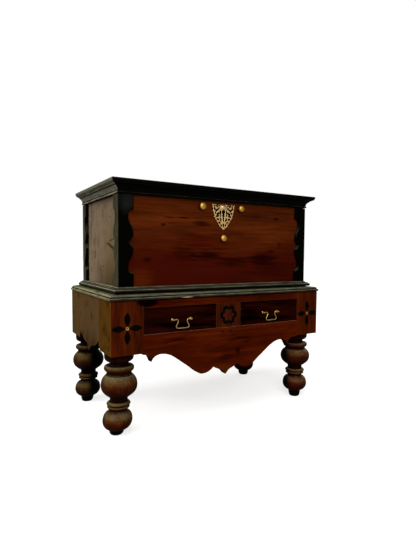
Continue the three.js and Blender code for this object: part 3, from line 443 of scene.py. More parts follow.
@dataclass(frozen=True)
class Timber(Finish):
    """Sawn and planed wood: growth figure drawn out along the fibres, pores, patches, fading and
    painted light.

    The eye reads long soft streaks, darker patches, some of them painted shadows, and a dull face
    where the sun has paled it, under a painted sheen. Eased edges carry wear with painted
    highlights, and a board's thickness painted shade. Wood has an IOR near 1.5 and a broken gloss.
    """

    pale: str = "#5a2408"
    body: str = "#451703"
    dark: str = "#240400"
    deep: str = "#120000"
    grain: Grain = Grain.ACROSS
    figure_mm: float = 55.0
    ring_mm: float = 11.0
    pore_mm: float = 2.4
    drawn_out: float = 14.0
    ring_share: float = 0.22
    pore_share: float = 0.22
    low_tint: str = ""
    low_from: float = 0.0
    low_to: float = 0.0
    low_share: float = 0.9
    low_sway: float = 0.12
    clouds: tuple[Cloud, ...] = ()
    # Pale layer on faces that look out of an end: sun bleaching with a painted sheen
    faded_and_sheen: str = ""
    faded_and_sheen_dark: str = "#2e2010"
    faded_and_sheen_pale: str = ""
    faded_and_sheen_share: float = 0.0
    # Painted shade on the faces across this axis, a board's thickness: which axis, its colour and
    # strength
    shaded_edge_axis: str = ""
    edge: str = "#070301"
    edge_shade_share: float = 0.95
    # Colour of eased edges: wear with a painted highlight
    rubbed_and_highlit: str = ""
    roughness: float = 0.42
    gloss: float = 0.05
    relief_mm: float = 0.25

    def dress(self, tree: Tree) -> None:
        """Mixes figure, growth rings and pores into one ramp, then lays on it the low tint, the
        fading with its painted sheen, the edge colour of wear and painted highlight, patches with
        some painted shadows, and painted shade on the board's thickness.

        Args:
            tree: the material's tree.
        """
        place, facing = (tree.add("TexCoord", out=name) for name in ("Object", "Normal"))
        broad, rings, pores = (
            tree.streaks(place, self.grain.scale(size, self.drawn_out * stretch),
                         Detail=detail, Roughness=0.6, Distortion=0.35)
            for size, stretch, detail in ((self.figure_mm, 0.5, 5.0), (self.ring_mm, 1.6, 3.0),
                                          (self.pore_mm, 1.5, 2.0)))
        figure = Figure(tree, place, facing, broad, rings, pores)
        level = tree.sum_of((broad, 1.0 - self.pore_share - self.ring_share),
                            (rings, self.ring_share), (pores, self.pore_share))
        colour = tree.add("ValToRGB", {"Fac": level},
                          stops=((0.36, self.dark), (0.5, self.body), (0.64, self.pale)))
        if self.low_tint:
            colour = self.stained(colour, figure)
        # Sun bleaching with a painted sheen on the end faces
        if self.faded_and_sheen:
            colour = self.bleached_with_sheen(colour, figure)
        # Eased edges: wear with a painted highlight
        if self.rubbed_and_highlit:
            tone = tree.add("Attribute", out="Fac", attribute_name="tone")
            patchy = tree.sum_of((tone, 0.4), (pores, 0.3))
            colour = tree.coated(colour, (tree.product_of(tone, patchy), self.rubbed_and_highlit))
        for tint in dict.fromkeys(cloud.tint or self.deep for cloud in self.clouds):
            alike = [cloud for cloud in self.clouds if (cloud.tint or self.deep) == tint]
            colour = tree.coated(colour, (self.patches(alike, figure), tint))
        # Painted shade on the faces of the board's thickness
        if self.shaded_edge_axis:
            across = tree.add("SeparateXYZ", {0: figure.facing}, out=self.shaded_edge_axis)
            size = tree.add("Math", {0: across}, operation="ABSOLUTE")
            edge_shade = tree.add("MapRange", {"Value": size}, span=(0.3, 0.75, self.edge_shade_share, 0.0))
            colour = tree.coated(colour, (edge_shade, self.edge))
        tree.surfaced(colour, (pores, self.roughness - 0.08, self.roughness + 0.14),
                      (tree.sum_of((pores, 0.7), (rings, 0.3)), 0.5, self.relief_mm),
                      **{GLOSS: self.gloss})

    def stained(self, colour: Socket, figure: Figure) -> Socket:
        """Lays the low tint: its share grows from one height down to another, and the figure
        makes that border sway.

        Args:
            colour: the colour below.
            figure: the board's figure.

        Returns:
            The colour on top.
        """
        tree = figure.tree
        height = tree.add("SeparateXYZ", {0: figure.place}, out="Z")
        swaying = tree.sum_of((height, 1.0), (figure.broad, self.low_sway))
        start, end = (level * MM + self.low_sway / 2 for level in (self.low_from, self.low_to))
        low = tree.add("MapRange", {"Value": swaying}, span=(start, end, 0.0, self.low_share),
                       interpolation_type="SMOOTHSTEP")
        return tree.coated(colour, (low, self.low_tint),
                           (tree.sum_of((figure.pores, 0.5)), self.dark))

    def bleached_with_sheen(self, colour: Socket, figure: Figure) -> Socket:
        """Pales the end faces with sun bleaching and a painted sheen: the share follows the face's
        normal times its place on X, which is above zero on faces that look out of an end. A coarse
        mottle breaks it.

        Args:
            colour: the colour below.
            figure: the board's figure.

        Returns:
            The colour on top.
        """
        tree = figure.tree
        outward = tree.product_of(*(tree.add("SeparateXYZ", {0: socket}, out="X")
                                    for socket in (figure.facing, figure.place)))
        mottle = tree.add("TexNoise", {"Vector": figure.place, "Scale": 14.0, "Detail": 4.0,
                                       "Roughness": 0.65})
        share = tree.add("MapRange", {"Value": outward}, span=(0.18, 0.5, 0.0, self.faded_and_sheen_share))
        shade = tree.sum_of((mottle, 0.6), (figure.broad, 0.22), (figure.pores, 0.18))
        worn = tree.add("ValToRGB", {"Fac": shade},
                        stops=((0.36, self.faded_and_sheen_dark), (0.5, self.faded_and_sheen),
                               (0.6, self.faded_and_sheen_pale or self.faded_and_sheen)))
        return tree.coated(colour, (share, worn))

    @staticmethod
    def patches(clouds: Sequence[Cloud], figure: Figure) -> Socket:
        """How deep some patches are: each falls off with the distance from its centre, as shares
        of its spread, and the wood's figure and rings fray its edge.

        Args:
            clouds: the patches.
            figure: the board's figure.

        Returns:
            The depth, the greatest where patches overlap.
        """
        tree = figure.tree
        both = tree.add("Math", {0: figure.broad, 1: figure.rings}, operation="ADD")
        fray = tree.add("Math", {0: both, 1: -1.0}, operation="ADD")
        total: Any = 0.0
        for cloud in clouds:
            far = cloud.distance(tree, figure.place)
            frayed = tree.add("Math", {0: fray, 1: cloud.fray, 2: far}, operation="MULTIPLY_ADD")
            fall = tree.add("MapRange", {"Value": frayed}, span=(cloud.core, 1.0, cloud.depth, 0.0),
                            interpolation_type="SMOOTHSTEP")
            total = tree.add("Math", {0: total, 1: fall}, operation="MAXIMUM")
        return total


@dataclass(frozen=True)
class Blackwood(Finish):
    """Ebony and ebonised moulding, waxed: near black, with a grey-olive layer of dust, wax and
    painted sheen.

    The layer lies on faces that look up or out of an end, where it is partly a painted highlight,
    and on the crests of a moulding, whose grooves stay black as painted shade. The gloss is low,
    because old wax is dull.
    """

    black: str = "#030302"
    bloom: str = "#5d5b42"
    front_bloom: float = 0.0
    side_bloom: float = 0.75
    side_from: float = 0.2
    side_over: float = 0.25
    top_bloom: float = 0.5
    follows_tone: bool = False
    grain: Grain = Grain.ACROSS
    pore_mm: float = 3.0
    drawn_out: float = 24.0
    dust_mm: float = 45.0
    # A pale spot: wear on the tray moulding, a painted sheen at the top of a mount
    wear_and_sheen_spot: Cloud | None = None
    worn: str = "#8d8468"
    roughness: float = 0.4
    gloss: float = 0.015
    relief_mm: float = 0.2

    def dress(self, tree: Tree) -> None:
        """Lays dust with a painted sheen over the black by the way each face looks, its tone and its
        grain.

        Args:
            tree: the material's tree.
        """
        place, facing = (tree.add("TexCoord", out=name) for name in ("Object", "Normal"))
        across, ahead, up = (tree.add("SeparateXYZ", {0: facing}, out=axis) for axis in "XYZ")
        place_x = tree.add("SeparateXYZ", {0: place}, out="X")
        end = tree.add("Math", {0: place_x}, operation="SIGN")
        side = tree.add("MapRange", {"Value": tree.product_of(across, end)},
                        span=(self.side_from, self.side_from + self.side_over))
        front = tree.product_of(ahead, -1.0, clamp=True)
        top = tree.add("Math", {0: up, 1: 0.0}, operation="MAXIMUM")
        pores = tree.streaks(place, self.grain.scale(self.pore_mm, self.drawn_out), Detail=3.0)
        dust = tree.add("TexNoise", {"Vector": place, "Scale": 1000.0 / self.dust_mm,
                                     "Detail": 5.0, "Roughness": 0.65})
        spread = tree.add("MapRange", {"Value": dust}, span=(0.3, 0.7, 0.6, 1.15))
        # The grey-olive layer: dust with a painted sheen on the ends and painted highlights where
        # faces look up
        share = tree.sum_of((side, self.side_bloom), (front, self.front_bloom),
                            (top, self.top_bloom))
        # Following the tone keeps painted shade in the grooves and painted highlights on the crests
        if self.follows_tone:
            tone = tree.add("Attribute", out="Fac", attribute_name="tone")
            share = tree.product_of(share, tone)
        grey = tree.add("ValToRGB", {"Fac": pores}, stops=((0.3, self.black), (0.52, self.bloom)))
        colour = tree.coated(self.black, (tree.product_of(share, spread), grey))
        # The pale spot: wear on the tray moulding, a painted sheen on the mount
        if self.wear_and_sheen_spot:
            spot = tree.add("MapRange", {"Value": self.wear_and_sheen_spot.distance(tree, place)},
                            span=(0.3, 1.0, self.wear_and_sheen_spot.depth, 0.0))
            colour = tree.coated(colour, (tree.product_of(spot, spread), self.worn))
        tree.surfaced(colour, (dust, self.roughness - 0.08, self.roughness + 0.16),
                      (pores, 0.4, self.relief_mm), **{GLOSS: self.gloss})


@dataclass(frozen=True)
class TurnedWood(Finish):
    """A leg from the lathe: bands of colour round it, crests pale from wear and a painted highlight,
    grooves black with painted shade, and the foot black.

    The fibres run up the leg, so the flanks of the balls show arched figure.
    """

    groove: str = "#020100"
    neck: str = "#1c0300"
    # Painted shade on faces that look down
    under: str = "#200401"
    body: str = "#421c03"
    # Colour of the highest bands: wear with a painted highlight
    rubbed_and_highlit: str = "#453009"
    # Dust with a painted highlight on flanks that look up
    crest: str = "#504a35"
    # Painted shade on faces that look along a way: its colour, the way, where it starts and its
    # spread
    smoke: str = "#020100"
    shade_way: Triple = (0.0, 0.0, 0.0)
    shade_from: float = 0.0
    shade_over: float = 0.2
    foot_mm: float = 30.0
    foot_over_mm: float = 10.0
    pore_mm: float = 3.4
    drawn_out: float = 14.0
    roughness: float = 0.38
    gloss: float = 0.02
    relief_mm: float = 0.25

    def dress(self, tree: Tree) -> None:
        """Mixes the bands by tone, dust with a painted highlight on the upper flanks and painted
        shade on the lower ones by the way they face, the foot by height, and painted shade by the
        way a face looks.

        Args:
            tree: the material's tree.
        """
        place, facing = (tree.add("TexCoord", out=name) for name in ("Object", "Normal"))
        pores = tree.streaks(place, Grain.UPRIGHT.scale(self.pore_mm, self.drawn_out), Detail=4.0)
        mottle = tree.add("TexNoise", {"Vector": place, "Scale": 30.0, "Detail": 6.0,
                                       "Roughness": 0.65, "Distortion": 0.6})
        tone = tree.add("Attribute", out="Fac", attribute_name="tone")
        uneven = tree.add("Math", {0: mottle, 1: -0.5}, operation="ADD")
        band = tree.add("Math", {0: uneven, 1: 0.9, 2: tone}, operation="MULTIPLY_ADD")
        wood = tree.add("ValToRGB", {"Fac": band},
                        stops=((0.06, self.groove), (0.26, self.neck), (0.6, self.body),
                               (0.95, self.rubbed_and_highlit)))
        up = tree.add("SeparateXYZ", {0: facing}, out="Z")
        height = tree.add("SeparateXYZ", {0: place}, out="Z")
        foot_ends = ((self.foot_mm + over) * MM for over in (-self.foot_over_mm, self.foot_over_mm))
        streak, raised, clear, under, foot = (
            tree.add("MapRange", {"Value": level}, span=span)
            for level, span in ((pores, (0.35, 0.55, 0.65, 0.0)), (up, (0.05, 0.75, 0.0, 1.0)),
                                (mottle, (0.3, 0.62)), (up, (-0.75, 0.15, 0.9, 0.0)),
                                (height, (*foot_ends, 1.0, 0.0))))
        # Dust with a painted highlight on crests that look up, painted shade on faces that look down
        dust_and_highlight = tree.product_of(raised, tone, clear, clamp=True)
        colour = tree.coated(wood, (streak, self.neck), (dust_and_highlight, self.crest),
                             (under, self.under), (foot, self.groove))
        # Painted shade on the side of the leg that looks along a way
        if any(self.shade_way):
            away = tree.add("VectorMath", {0: facing, 1: self.shade_way},
                            out="Value", operation="DOT_PRODUCT")
            ragged = tree.add("Math", {0: uneven, 1: 0.5, 2: away}, operation="MULTIPLY_ADD")
            dark = tree.add("MapRange", {"Value": ragged},
                            span=(self.shade_from - self.shade_over,
                                  self.shade_from + self.shade_over))
            colour = tree.coated(colour, (dark, self.smoke))
        tree.surfaced(colour, (mottle, self.roughness - 0.08, self.roughness + 0.16),
                      (pores, 0.4, self.relief_mm), **{GLOSS: self.gloss})


@dataclass(frozen=True)
class Metal(Finish):
    """Cast or forged metal: bright where hands rub it, with a brown tarnish in soft patches.

    The tarnish is rougher than the bare metal. The IOR is the default.
    """

    bright: str = "#c79a45"
    tarnish: str = "#5a3a12"
    patch_mm: float = 9.0
    tarnished: float = 0.5
    roughness: float = 0.32
    relief_mm: float = 0.15

    def dress(self, tree: Tree) -> None:
        """Mixes the tarnish in by noise, and roughens the metal where it lies.

        Args:
            tree: the material's tree.
        """
        place = tree.add("TexCoord", out="Object")
        patch = tree.add("TexNoise", {"Vector": place, "Scale": 1000.0 / self.patch_mm,
                                      "Detail": 5.0, "Roughness": 0.65})
        share = tree.add("MapRange", {"Value": patch}, span=(0.42, 0.68, 0.0, self.tarnished))
        colour = tree.coated(self.bright, (share, self.tarnish))
        tree.surfaced(colour, (patch, self.roughness, self.roughness + 0.25),
                      (patch, 0.35, self.relief_mm), between=(0.3, 0.7), Metallic=1.0)


@dataclass(frozen=True)
class Plaster(Finish):
    """The studio floor: a matt, pale panel lit from below, as a photographer's light table, with
    a mottle too faint to draw the eye. The chest itself gets only a dim bounce from it."""

    pale: str = "#fbfbfa"
    shade: str = "#f6f5f3"
    bounce: str = "#8f8d89"
    lit: str = "#a09f9d"
    glow: float = 0.76
    mottle_scale: float = 0.8

    def dress(self, tree: Tree) -> None:
        """Glows in two near whites by a coarse noise, to the camera only.

        Args:
            tree: the material's tree.
        """
        place = tree.add("TexCoord", out="Object")
        mottle = tree.add("TexNoise", {"Vector": place, "Scale": self.mottle_scale})
        seen = tree.add("LightPath", out="Is Camera Ray")
        tree.shaded({
            "Base Color": tree.coated(self.bounce, (seen, self.lit)), "Roughness": 0.9, GLOSS: 0.1,
            "Emission Color": tree.coated(self.shade, (mottle, self.pale)),
            "Emission Strength": tree.product_of(seen, self.glow)})


# Jackwood front, oiled and polished by rubbing: warm brown above, blood red below, with dark figure,
# painted shade low on the right and painted shadows round the lock studs
FRONT_JACKWOOD = Timber(
    "polished_jackwood_front", "red_wood", pale="#642a08", body="#4d1d05", dark="#2c0d02",
    deep="#130100", low_tint="#360401", low_from=935.0, low_to=760.0, gloss=0.01,
    ring_mm=9.0, ring_share=0.3,
    clouds=on_face(
        1, -263, 60,
        (-100, 860, 190, 65, 0.7, 1.2, 0.15, "#360401"),
        (-440, 690, 90, 80, 0.75, 1.2, 0.15, "#4a1a03"), (-285, 977, 50, 6, 0.8, 0.3),
        (-215, 979, 60, 7, 0.95, 0.4), (-140, 980, 60, 7, 0.6, 0.6), (-320, 943, 22, 11, 0.85, 0.3),
        (-280, 952, 26, 6, 0.5, 0.6), (-122, 960, 75, 20, 0.75, 1.4),
        (-399, 782, 30, 17, 0.75, 0.7), (-200, 815, 110, 40, 0.5), (-163, 806, 60, 22, 0.7, 1.2),
        (-70, 806, 150, 48, 0.85), (70, 770, 170, 50, 0.7), (245, 782, 140, 55, 0.85),
        (316, 826, 44, 12, 0.8), (344, 1000, 18, 12, 0.7), (370, 858, 20, 14, 0.7),
        # (330, 700) is painted shade low on the right; (-116, 1037), (110, 1037) and (5, 885) are
        # painted shadows round the studs
        (440, 786, 12, 9, 0.7), (330, 700, 320, 90, 0.4), (-116, 1037, 25, 23, 0.9, 0.2, 0.7),
        (110, 1037, 23, 21, 0.9, 0.2, 0.7), (5, 885, 23, 21, 0.9, 0.2, 0.7),
    ))

# Jackwood ends, pale from the sun under a painted sheen and never polished again: dull, with cracks
# and pits, and a painted shadow beside the back mount
SIDE_JACKWOOD = Timber(
    "weathered_jackwood_side", "weathered_wood", pale="#5d4629", body="#46341a", dark="#2b1d0c",
    deep="#0d0804", grain=Grain.UPRIGHT, figure_mm=42.0, faded_and_sheen="#605343", ring_share=0.3,
    faded_and_sheen_dark="#46382b", faded_and_sheen_pale="#695a49", faded_and_sheen_share=0.95, roughness=0.66, gloss=0.0,
    relief_mm=0.4, clouds=(
        *Cloud((-524, -340, 760), (20, 560, 390), 0.78, 0.15, 0.3, "#584930").and_mirrored(),
        *Cloud((-524, -300, 640), (20, 560, 205), 0.85, 0.2, 0.2, "#352511").and_mirrored(),
        # A painted shadow on the board beside the back mount
        Cloud((-524, 268, 866), (20, 34, 900), 1.0, 0.2, 0.85),
        *on_face(
            0, -524, 60,
            (112, 814, 7, 20, 1.0, 0.5), (118, 790, 6, 16, 0.9, 0.5), (170, 779, 5, 14, 0.7, 0.4),
            (134, 761, 5, 14, 0.8, 0.4), (-13, 746, 12, 8, 0.8, 0.4),
            *((-88 - 16 * k, 856 - 5 * k, 20, 7 + k, 0.75, 0.3, 0.4) for k in range(6)),
            *((-120 - 14 * k, 868 + 2 * k, 18, 5, 0.6, 0.3, 0.4) for k in range(4)),
            (-6, 1055, 6, 16, 0.9, 0.4), (-96, 1053, 12, 8, 0.8, 0.4),
            (-121, 977, 22, 5, 0.5, 0.4)),
        *on_face(0, 524, 60, (37, 850, 4, 20, 0.9), (-63, 980, 4, 12, 0.8)),
    ))

# Ebony of the corner mounts and the lid, waxed: black, with dust and a painted sheen out of the
# ends, painted highlights on bevels that look up, and a painted sheen spot at the top of the front
# left mount
MOUNT_EBONY = Blackwood(
    "waxed_ebony_mount", "ebony", black="#010100", grain=Grain.UPRIGHT, bloom="#3e3c2b",
    side_bloom=0.78, side_from=0.72, top_bloom=0.8, worn="#3c3e3a",
    # The spot at the top of the mount is a painted sheen
    wear_and_sheen_spot=Cloud((-500, -279, 1040), (50, 14, 70), 0.17))
LID_EBONY = Blackwood(
    "waxed_ebony_lid", "ebony", side_bloom=1.0, side_from=0.1, top_bloom=0.25,
    follows_tone=True, bloom="#7d7a66")
LID_SIDE_EBONY = Blackwood(
    "waxed_ebony_lid_side", "moulding_wood", grain=Grain.DEEP, side_bloom=1.0, side_from=0.1,
    follows_tone=True, bloom="#8a8772", dust_mm=30.0)
INLAY_EBONY = Blackwood("ebony_inlay", "ebony", side_bloom=0.0, top_bloom=0.0)
# A black sheet under the pierced brass: painted shadow in its holes and along its lower left edge
SHADOW_SHEET = replace(INLAY_EBONY, name="lock_shadow_sheet", gloss=0.0)

# Ebonised mouldings between the coffer and the stand: dust with painted highlights on their crests,
# painted shade in their grooves, and a copy with more painted highlight on top for the end runs
TRAY_MOULDING = Blackwood(
    "ebonised_moulding", "moulding_wood", bloom="#77735a", front_bloom=0.2, side_bloom=0.95,
    side_from=0.1, top_bloom=0.65, follows_tone=True, worn="#b5ab8c",
    wear_and_sheen_spot=Cloud((-232, -336, 611.5), (36, 30, 2.8), 0.95))
TRAY_SIDE_MOULDING = Blackwood(
    "ebonised_moulding_side", "moulding_wood", bloom="#7c7756", grain=Grain.DEEP,
    side_bloom=1.0, side_from=0.1, top_bloom=0.9, follows_tone=True)

# Red-brown posts with upright fibres, pale olive on the ends from the sun with a painted sheen, and
# a painted shadow under the tray
POST_JACKWOOD = Timber(
    "polished_jackwood_post", "stand_wood", pale="#4d1b05", body="#3a1203", dark="#240702",
    deep="#050000", grain=Grain.UPRIGHT, figure_mm=30.0, ring_mm=9.0, faded_and_sheen="#442c0c",
    faded_and_sheen_dark="#241504", faded_and_sheen_share=0.97, roughness=0.4, rubbed_and_highlit="#5a2c10", gloss=0.0,
    clouds=on_face(
        1, -331, 60,
        # (0, 608): a painted shadow under the tray moulding
        (-450, 602, 34, 30, 1.0, 0.5, 0.4), (0, 608, 900, 9, 1.0, 0.3, 0.3),
        (-450, 430, 40, 150, 0.35),
    ))
BACK_POST_JACKWOOD = Timber(
    "weathered_jackwood_post", "stand_wood", pale="#1e1006", body="#150a03", dark="#0b0501",
    grain=Grain.UPRIGHT, figure_mm=30.0, ring_mm=9.0, faded_and_sheen="#44321b", faded_and_sheen_dark="#291b0c",
    faded_and_sheen_share=0.97, roughness=0.5, gloss=0.0)
MUNTIN_JACKWOOD = Timber(
    "polished_jackwood_muntin", "stand_wood", pale="#4b1a06", body="#341104", dark="#1c0701",
    deep="#0a0100", grain=Grain.UPRIGHT, figure_mm=26.0, ring_mm=8.0, roughness=0.4,
    rubbed_and_highlit="#4a2410", gloss=0.01)

# Rail and apron of one red jackwood, with painted shade on their edges and a painted shadow under
# the tray; the apron's top arris carries a painted highlight
RAIL_JACKWOOD = Timber(
    "polished_jackwood_rail", "stand_wood", pale="#521b03", body="#3d0f01", dark="#250601",
    deep="#060000", figure_mm=45.0, roughness=0.4, shaded_edge_axis="Y", rubbed_and_highlit="#7a5433", gloss=0.0,
    clouds=(
        *on_face(
            1, -331, 60,
            (-300, 590, 260, 16, 0.55, 2.2, 0.15, "#2c0400"), (-428, 597, 58, 27, 1.0, 0.35, 0.6),
            (-30, 245, 100, 45, 0.6, 0.6, 0.2, "#4a1f05"),
            # (0, 608): a painted shadow under the tray moulding
            (0, 608, 900, 9, 1.0, 0.3, 0.3)),
        *on_face(
            1, -331, 30,
            (-275, 420, 70, 12, 0.65), (-330, 408, 40, 8, 0.55), (63, 392, 60, 12, 0.65),
            (-20, 309, 60, 30, 0.5), (58, 331, 16, 16, 0.8), (110, 372, 30, 12, 0.4),
            (268, 434, 10, 8, 0.3)),
    ))
# A pale strip along the apron's top arris: a painted highlight
ARRIS_JACKWOOD = replace(RAIL_JACKWOOD, name="rubbed_jackwood_arris", shaded_edge_axis="",
                         rubbed_and_highlit="#b39a86", clouds=())

# Rosewood of the drawers: violet black with dark red streaks, a painted shadow under the rail along
# their top, and wear with painted highlights on their eased edges
DRAWER_ROSEWOOD = Timber(
    "waxed_rosewood_drawer", "drawer_wood", pale="#260703", body="#150301", dark="#060100",
    deep="#010000", figure_mm=38.0, roughness=0.36, gloss=0.0, rubbed_and_highlit="#4a3428",
    clouds=on_face(
        1, -331, 60,
        # (0, 573): a painted shadow under the rail along the drawer's top
        (0, 573, 900, 5, 1.0, 0.2, 0.4), (-130, 515, 120, 70, 0.6), (-290, 484, 150, 26, 0.9),
        (-190, 478, 140, 22, 0.8), (120, 515, 120, 60, 0.9), (300, 478, 130, 20, 0.8),
    ))

# End panels of the stand, dull and darker at the front post, pale with a painted sheen on their
# outer faces and painted shade on their edges; the coffer's and drawers' insides
PANEL_JACKWOOD = Timber(
    "weathered_jackwood_panel", "weathered_wood", pale="#4f391b", body="#3c2912", dark="#231607",
    deep="#080402", grain=Grain.UPRIGHT, figure_mm=36.0, faded_and_sheen="#46341e",
    faded_and_sheen_dark="#2b1d0f", faded_and_sheen_share=0.92, roughness=0.6, shaded_edge_axis="X", gloss=0.0,
    clouds=(
        Cloud((-592, 0, 345), (60, 320, 150), 0.5, 1.0, 0.0),
        *Cloud((-590, -252, 480), (60, 14, 300), 0.85, 0.3, 0.3).and_mirrored(),
    ))
INSIDE_JACKWOOD = Timber(
    "sawn_jackwood_inside", "inside_wood", pale="#7d5c38", body="#66482a", dark="#49311a",
    deep="#2b1c0e", figure_mm=50.0, roughness=0.75, gloss=0.15, relief_mm=0.4)
INSIDE_DEEP = replace(INSIDE_JACKWOOD, name="sawn_jackwood_inside_deep", grain=Grain.DEEP)

# The legs, one wood: painted shade on the side of each leg that looks from the light, darker copies
# for the back legs, which stand in shade, painted shade under the balls and painted highlights on
# top
LEG_WOOD = TurnedWood(
    "turned_jackwood_leg", "turned_wood", shade_way=(-0.858, 0.514, 0.0), shade_from=0.78)
RIGHT_LEG_WOOD = TurnedWood(
    "turned_jackwood_right_leg", "turned_wood", body="#3c1503", rubbed_and_highlit="#46250a",
    crest="#5f4930", shade_way=(-0.736, 0.677, 0.0), shade_from=0.45)
BACK_LEG_WOOD = TurnedWood(
    "turned_jackwood_back_leg", "turned_wood", groove="#010000", neck="#030100",
    under="#070200", body="#311a05", rubbed_and_highlit="#3a270a", crest="#45381d",
    shade_way=(0.965, -0.26, 0.0), shade_from=0.07)
FAR_LEG_WOOD = TurnedWood(
    "turned_jackwood_far_leg", "turned_wood", neck="#0f0301", body="#1d0e05",
    rubbed_and_highlit="#21160a", crest="#352b1a")

# Brass, sand-cast and filed, tarnished brown where no hand rubs it; iron from the forge
CAST_BRASS = Metal("cast_brass", "brass", bright="#cfa348", tarnish="#65430f", roughness=0.4)
BAIL_BRASS = Metal("handle_brass", "brass", bright="#e2c077", tarnish="#5f441a", tarnished=0.8,
                   patch_mm=14.0)
POST_BRASS = Metal("handle_post_brass", "brass", bright="#a8803e", tarnish="#3c2a10",
                   tarnished=0.7)
PIERCED_BRASS = Metal("pierced_cast_brass", "brass", bright="#f4cf90", tarnish="#80582a",
                      roughness=0.42)
BRIGHT_BRASS = Metal("rubbed_brass", "brass", bright="#f3d9a4", tarnish="#a07a48", patch_mm=6.0)
FORGED_IRON = Metal("forged_iron", "iron", bright="#4a4744", tarnish="#2a1c14", patch_mm=16.0,
                    roughness=0.5)

FLOOR = Plaster("studio_floor", "floor")


@dataclass
class Shape:
    """One surface in millimetres: its points, its faces in blocks of equal corner count, and the
    tone of each point."""

    points: Array
    faces: list[Array]
    tone: Array | None = None

    def turned_to(self, ways: Sequence[Sequence[float]], at: Sequence[float]) -> "Shape":
        """The shape with its X, Y and Z laid along three ways and its origin at a place."""
        points = self.points @ np.array(ways, float) + np.array(at, float)
        return Shape(points, self.faces, self.tone)

    def moved(self, x: float = 0.0, y: float = 0.0, z: float = 0.0) -> "Shape":
        """The shape shifted by a vector."""
        return Shape(self.points + np.array([x, y, z]), self.faces, self.tone)

    def joined(self, *others: "Shape") -> "Shape":
        """The shape together with others, each still its own shell.

        Args:
            others: the others.

        Returns:
            All of them as one shape.
        """
        shapes = (self, *others)
        starts = np.cumsum([0] + [len(s.points) for s in shapes])
        faces = [block + start for s, start in zip(shapes, starts) for block in s.faces]
        tones = [np.ones(len(s.points)) if s.tone is None else s.tone for s in shapes]
        return Shape(np.vstack([s.points for s in shapes]), faces, np.concatenate(tones))

    def outward(self) -> "Shape":
        """The shape with its faces turned outward, told by the sign of its volume: the sum over
        its triangles of one corner times the cross product of the others.

        Returns:
            The shape, with its faces turned round if the sum is below zero.
        """
        volume = 0.0
        for block in self.faces:
            corners = self.points[block]
            for k in range(1, block.shape[1] - 1):
                cross = np.cross(corners[:, k], corners[:, k + 1])
                volume += float((corners[:, 0] * cross).sum())
        if volume >= 0:
            return self
        return Shape(self.points, [block[:, ::-1] for block in self.faces], self.tone)


def drawn(
    steps: Drawing, width: float, height: float,
    start: Pair = (0.0, 0.0), fine: int = 9,
) -> tuple[Array, Array]:
    """Points along drawing steps: each step is the Bernstein sum of its poles.

    Args:
        steps: the steps, as shares.
        width: what a share of 1 across comes to.
        height: what a share of 1 up comes to.
        start: where the first step starts, as shares.
        fine: points on each curve.

    Returns:
        The points, and the tone at each.
    """
    at, shade = np.array(start, float), 1.0
    points, tones = [at[None]], [np.array([shade])]
    for step in steps:
        *shares, tone = step if len(step) % 2 else (*step, 1.0)
        poles = np.vstack([at, np.reshape(shares, (-1, 2))])
        order = len(poles) - 1
        t = np.linspace(0, 1, 2 if order == 1 else fine + 1)[1:, None]
        weights = [math.comb(order, k) * t**k * (1 - t) ** (order - k) for k in range(order + 1)]
        points.append(np.hstack(weights) @ poles)
        tones.append(shade + (tone - shade) * t[:, 0])
        at, shade = poles[-1], tone
    tones[0][0] = tones[1][0]
    return np.vstack(points) * (width, height), np.concatenate(tones)


def cells(rows: int, columns: int, looped: bool = False) -> Array:
    """The faces between the points of a grid whose last column meets its first.

    Args:
        rows: rows of points.
        columns: points in a row.
        looped: the last row meets the first too.

    Returns:
        The numbers of each face's four points.
    """
    number = np.arange(rows * columns).reshape(rows, columns)
    if looped:
        number = np.vstack([number, number[:1]])
    after = np.roll(number, -1, axis=1)
    return np.stack([number[:-1], after[:-1], after[1:], number[1:]], axis=-1).reshape(-1, 4)


def grid(points: Array, looped: bool = False, tone: Array | None = None) -> Shape:
    """A closed surface from a grid of points whose last column meets its first: each cell is a
    face, and so are the first and the last row.

    Args:
        points: rows, columns and places.
        looped: the last row meets the first instead.
        tone: the tone of each column or of each point.

    Returns:
        The shape.
    """
    rows, columns = points.shape[:2]
    faces = [cells(rows, columns, looped)]
    if not looped:
        row = np.arange(columns)[None]
        faces += [row[:, ::-1], row + (rows - 1) * columns]
    shades = None if tone is None else np.broadcast_to(tone, (rows, columns)).ravel()
    return Shape(points.reshape(-1, 3), faces, shades).outward()


def turned(profile: Array, facets: int = 64, tone: Array | None = None) -> Shape:
    """A profile of radius and height turned round Z: x is r cos a, y is r sin a, z is the height.
    The ends are closed at a point on the axis.

    Args:
        profile: radius and height of each point, from one end to the other.
        facets: points round the axis.
        tone: the tone of each profile point.

    Returns:
        The shape.
    """
    off_axis = profile[:, 0] > 0
    rings = profile[off_axis]
    shades = np.ones(len(rings)) if tone is None else tone[off_axis]
    angle = np.arange(facets) * 2 * math.pi / facets
    way = np.stack([np.cos(angle), np.sin(angle)], axis=-1)
    points = np.concatenate([
        rings[:, None, :1] * way[None],
        np.repeat(rings[:, None, 1:], facets, axis=1),
    ], axis=2).reshape(-1, 3)
    here, count = np.arange(facets), len(points)
    then, last = np.roll(here, -1), count - facets
    fans = [
        np.stack([np.full(facets, count), then, here], axis=1),
        np.stack([np.full(facets, count + 1), last + here, last + then], axis=1),
    ]
    poles = [[0.0, 0.0, profile[0, 1]], [0.0, 0.0, profile[-1, 1]]]
    tones = np.concatenate([np.repeat(shades, facets), shades[[0, -1]]])
    return Shape(np.vstack([points, poles]), [cells(len(rings), facets), *fans], tones).outward()


def headed(steps: Drawing, radius: float, height: float, start: Pair,
           foot: float, facets: int = 64) -> Shape:
    """A head drawn from its edge to the axis and turned round Z, closed by a foot at a height."""
    head, _ = drawn(steps, radius, height, start=start)
    return turned(np.vstack([[[0.0, foot]], head]), facets)


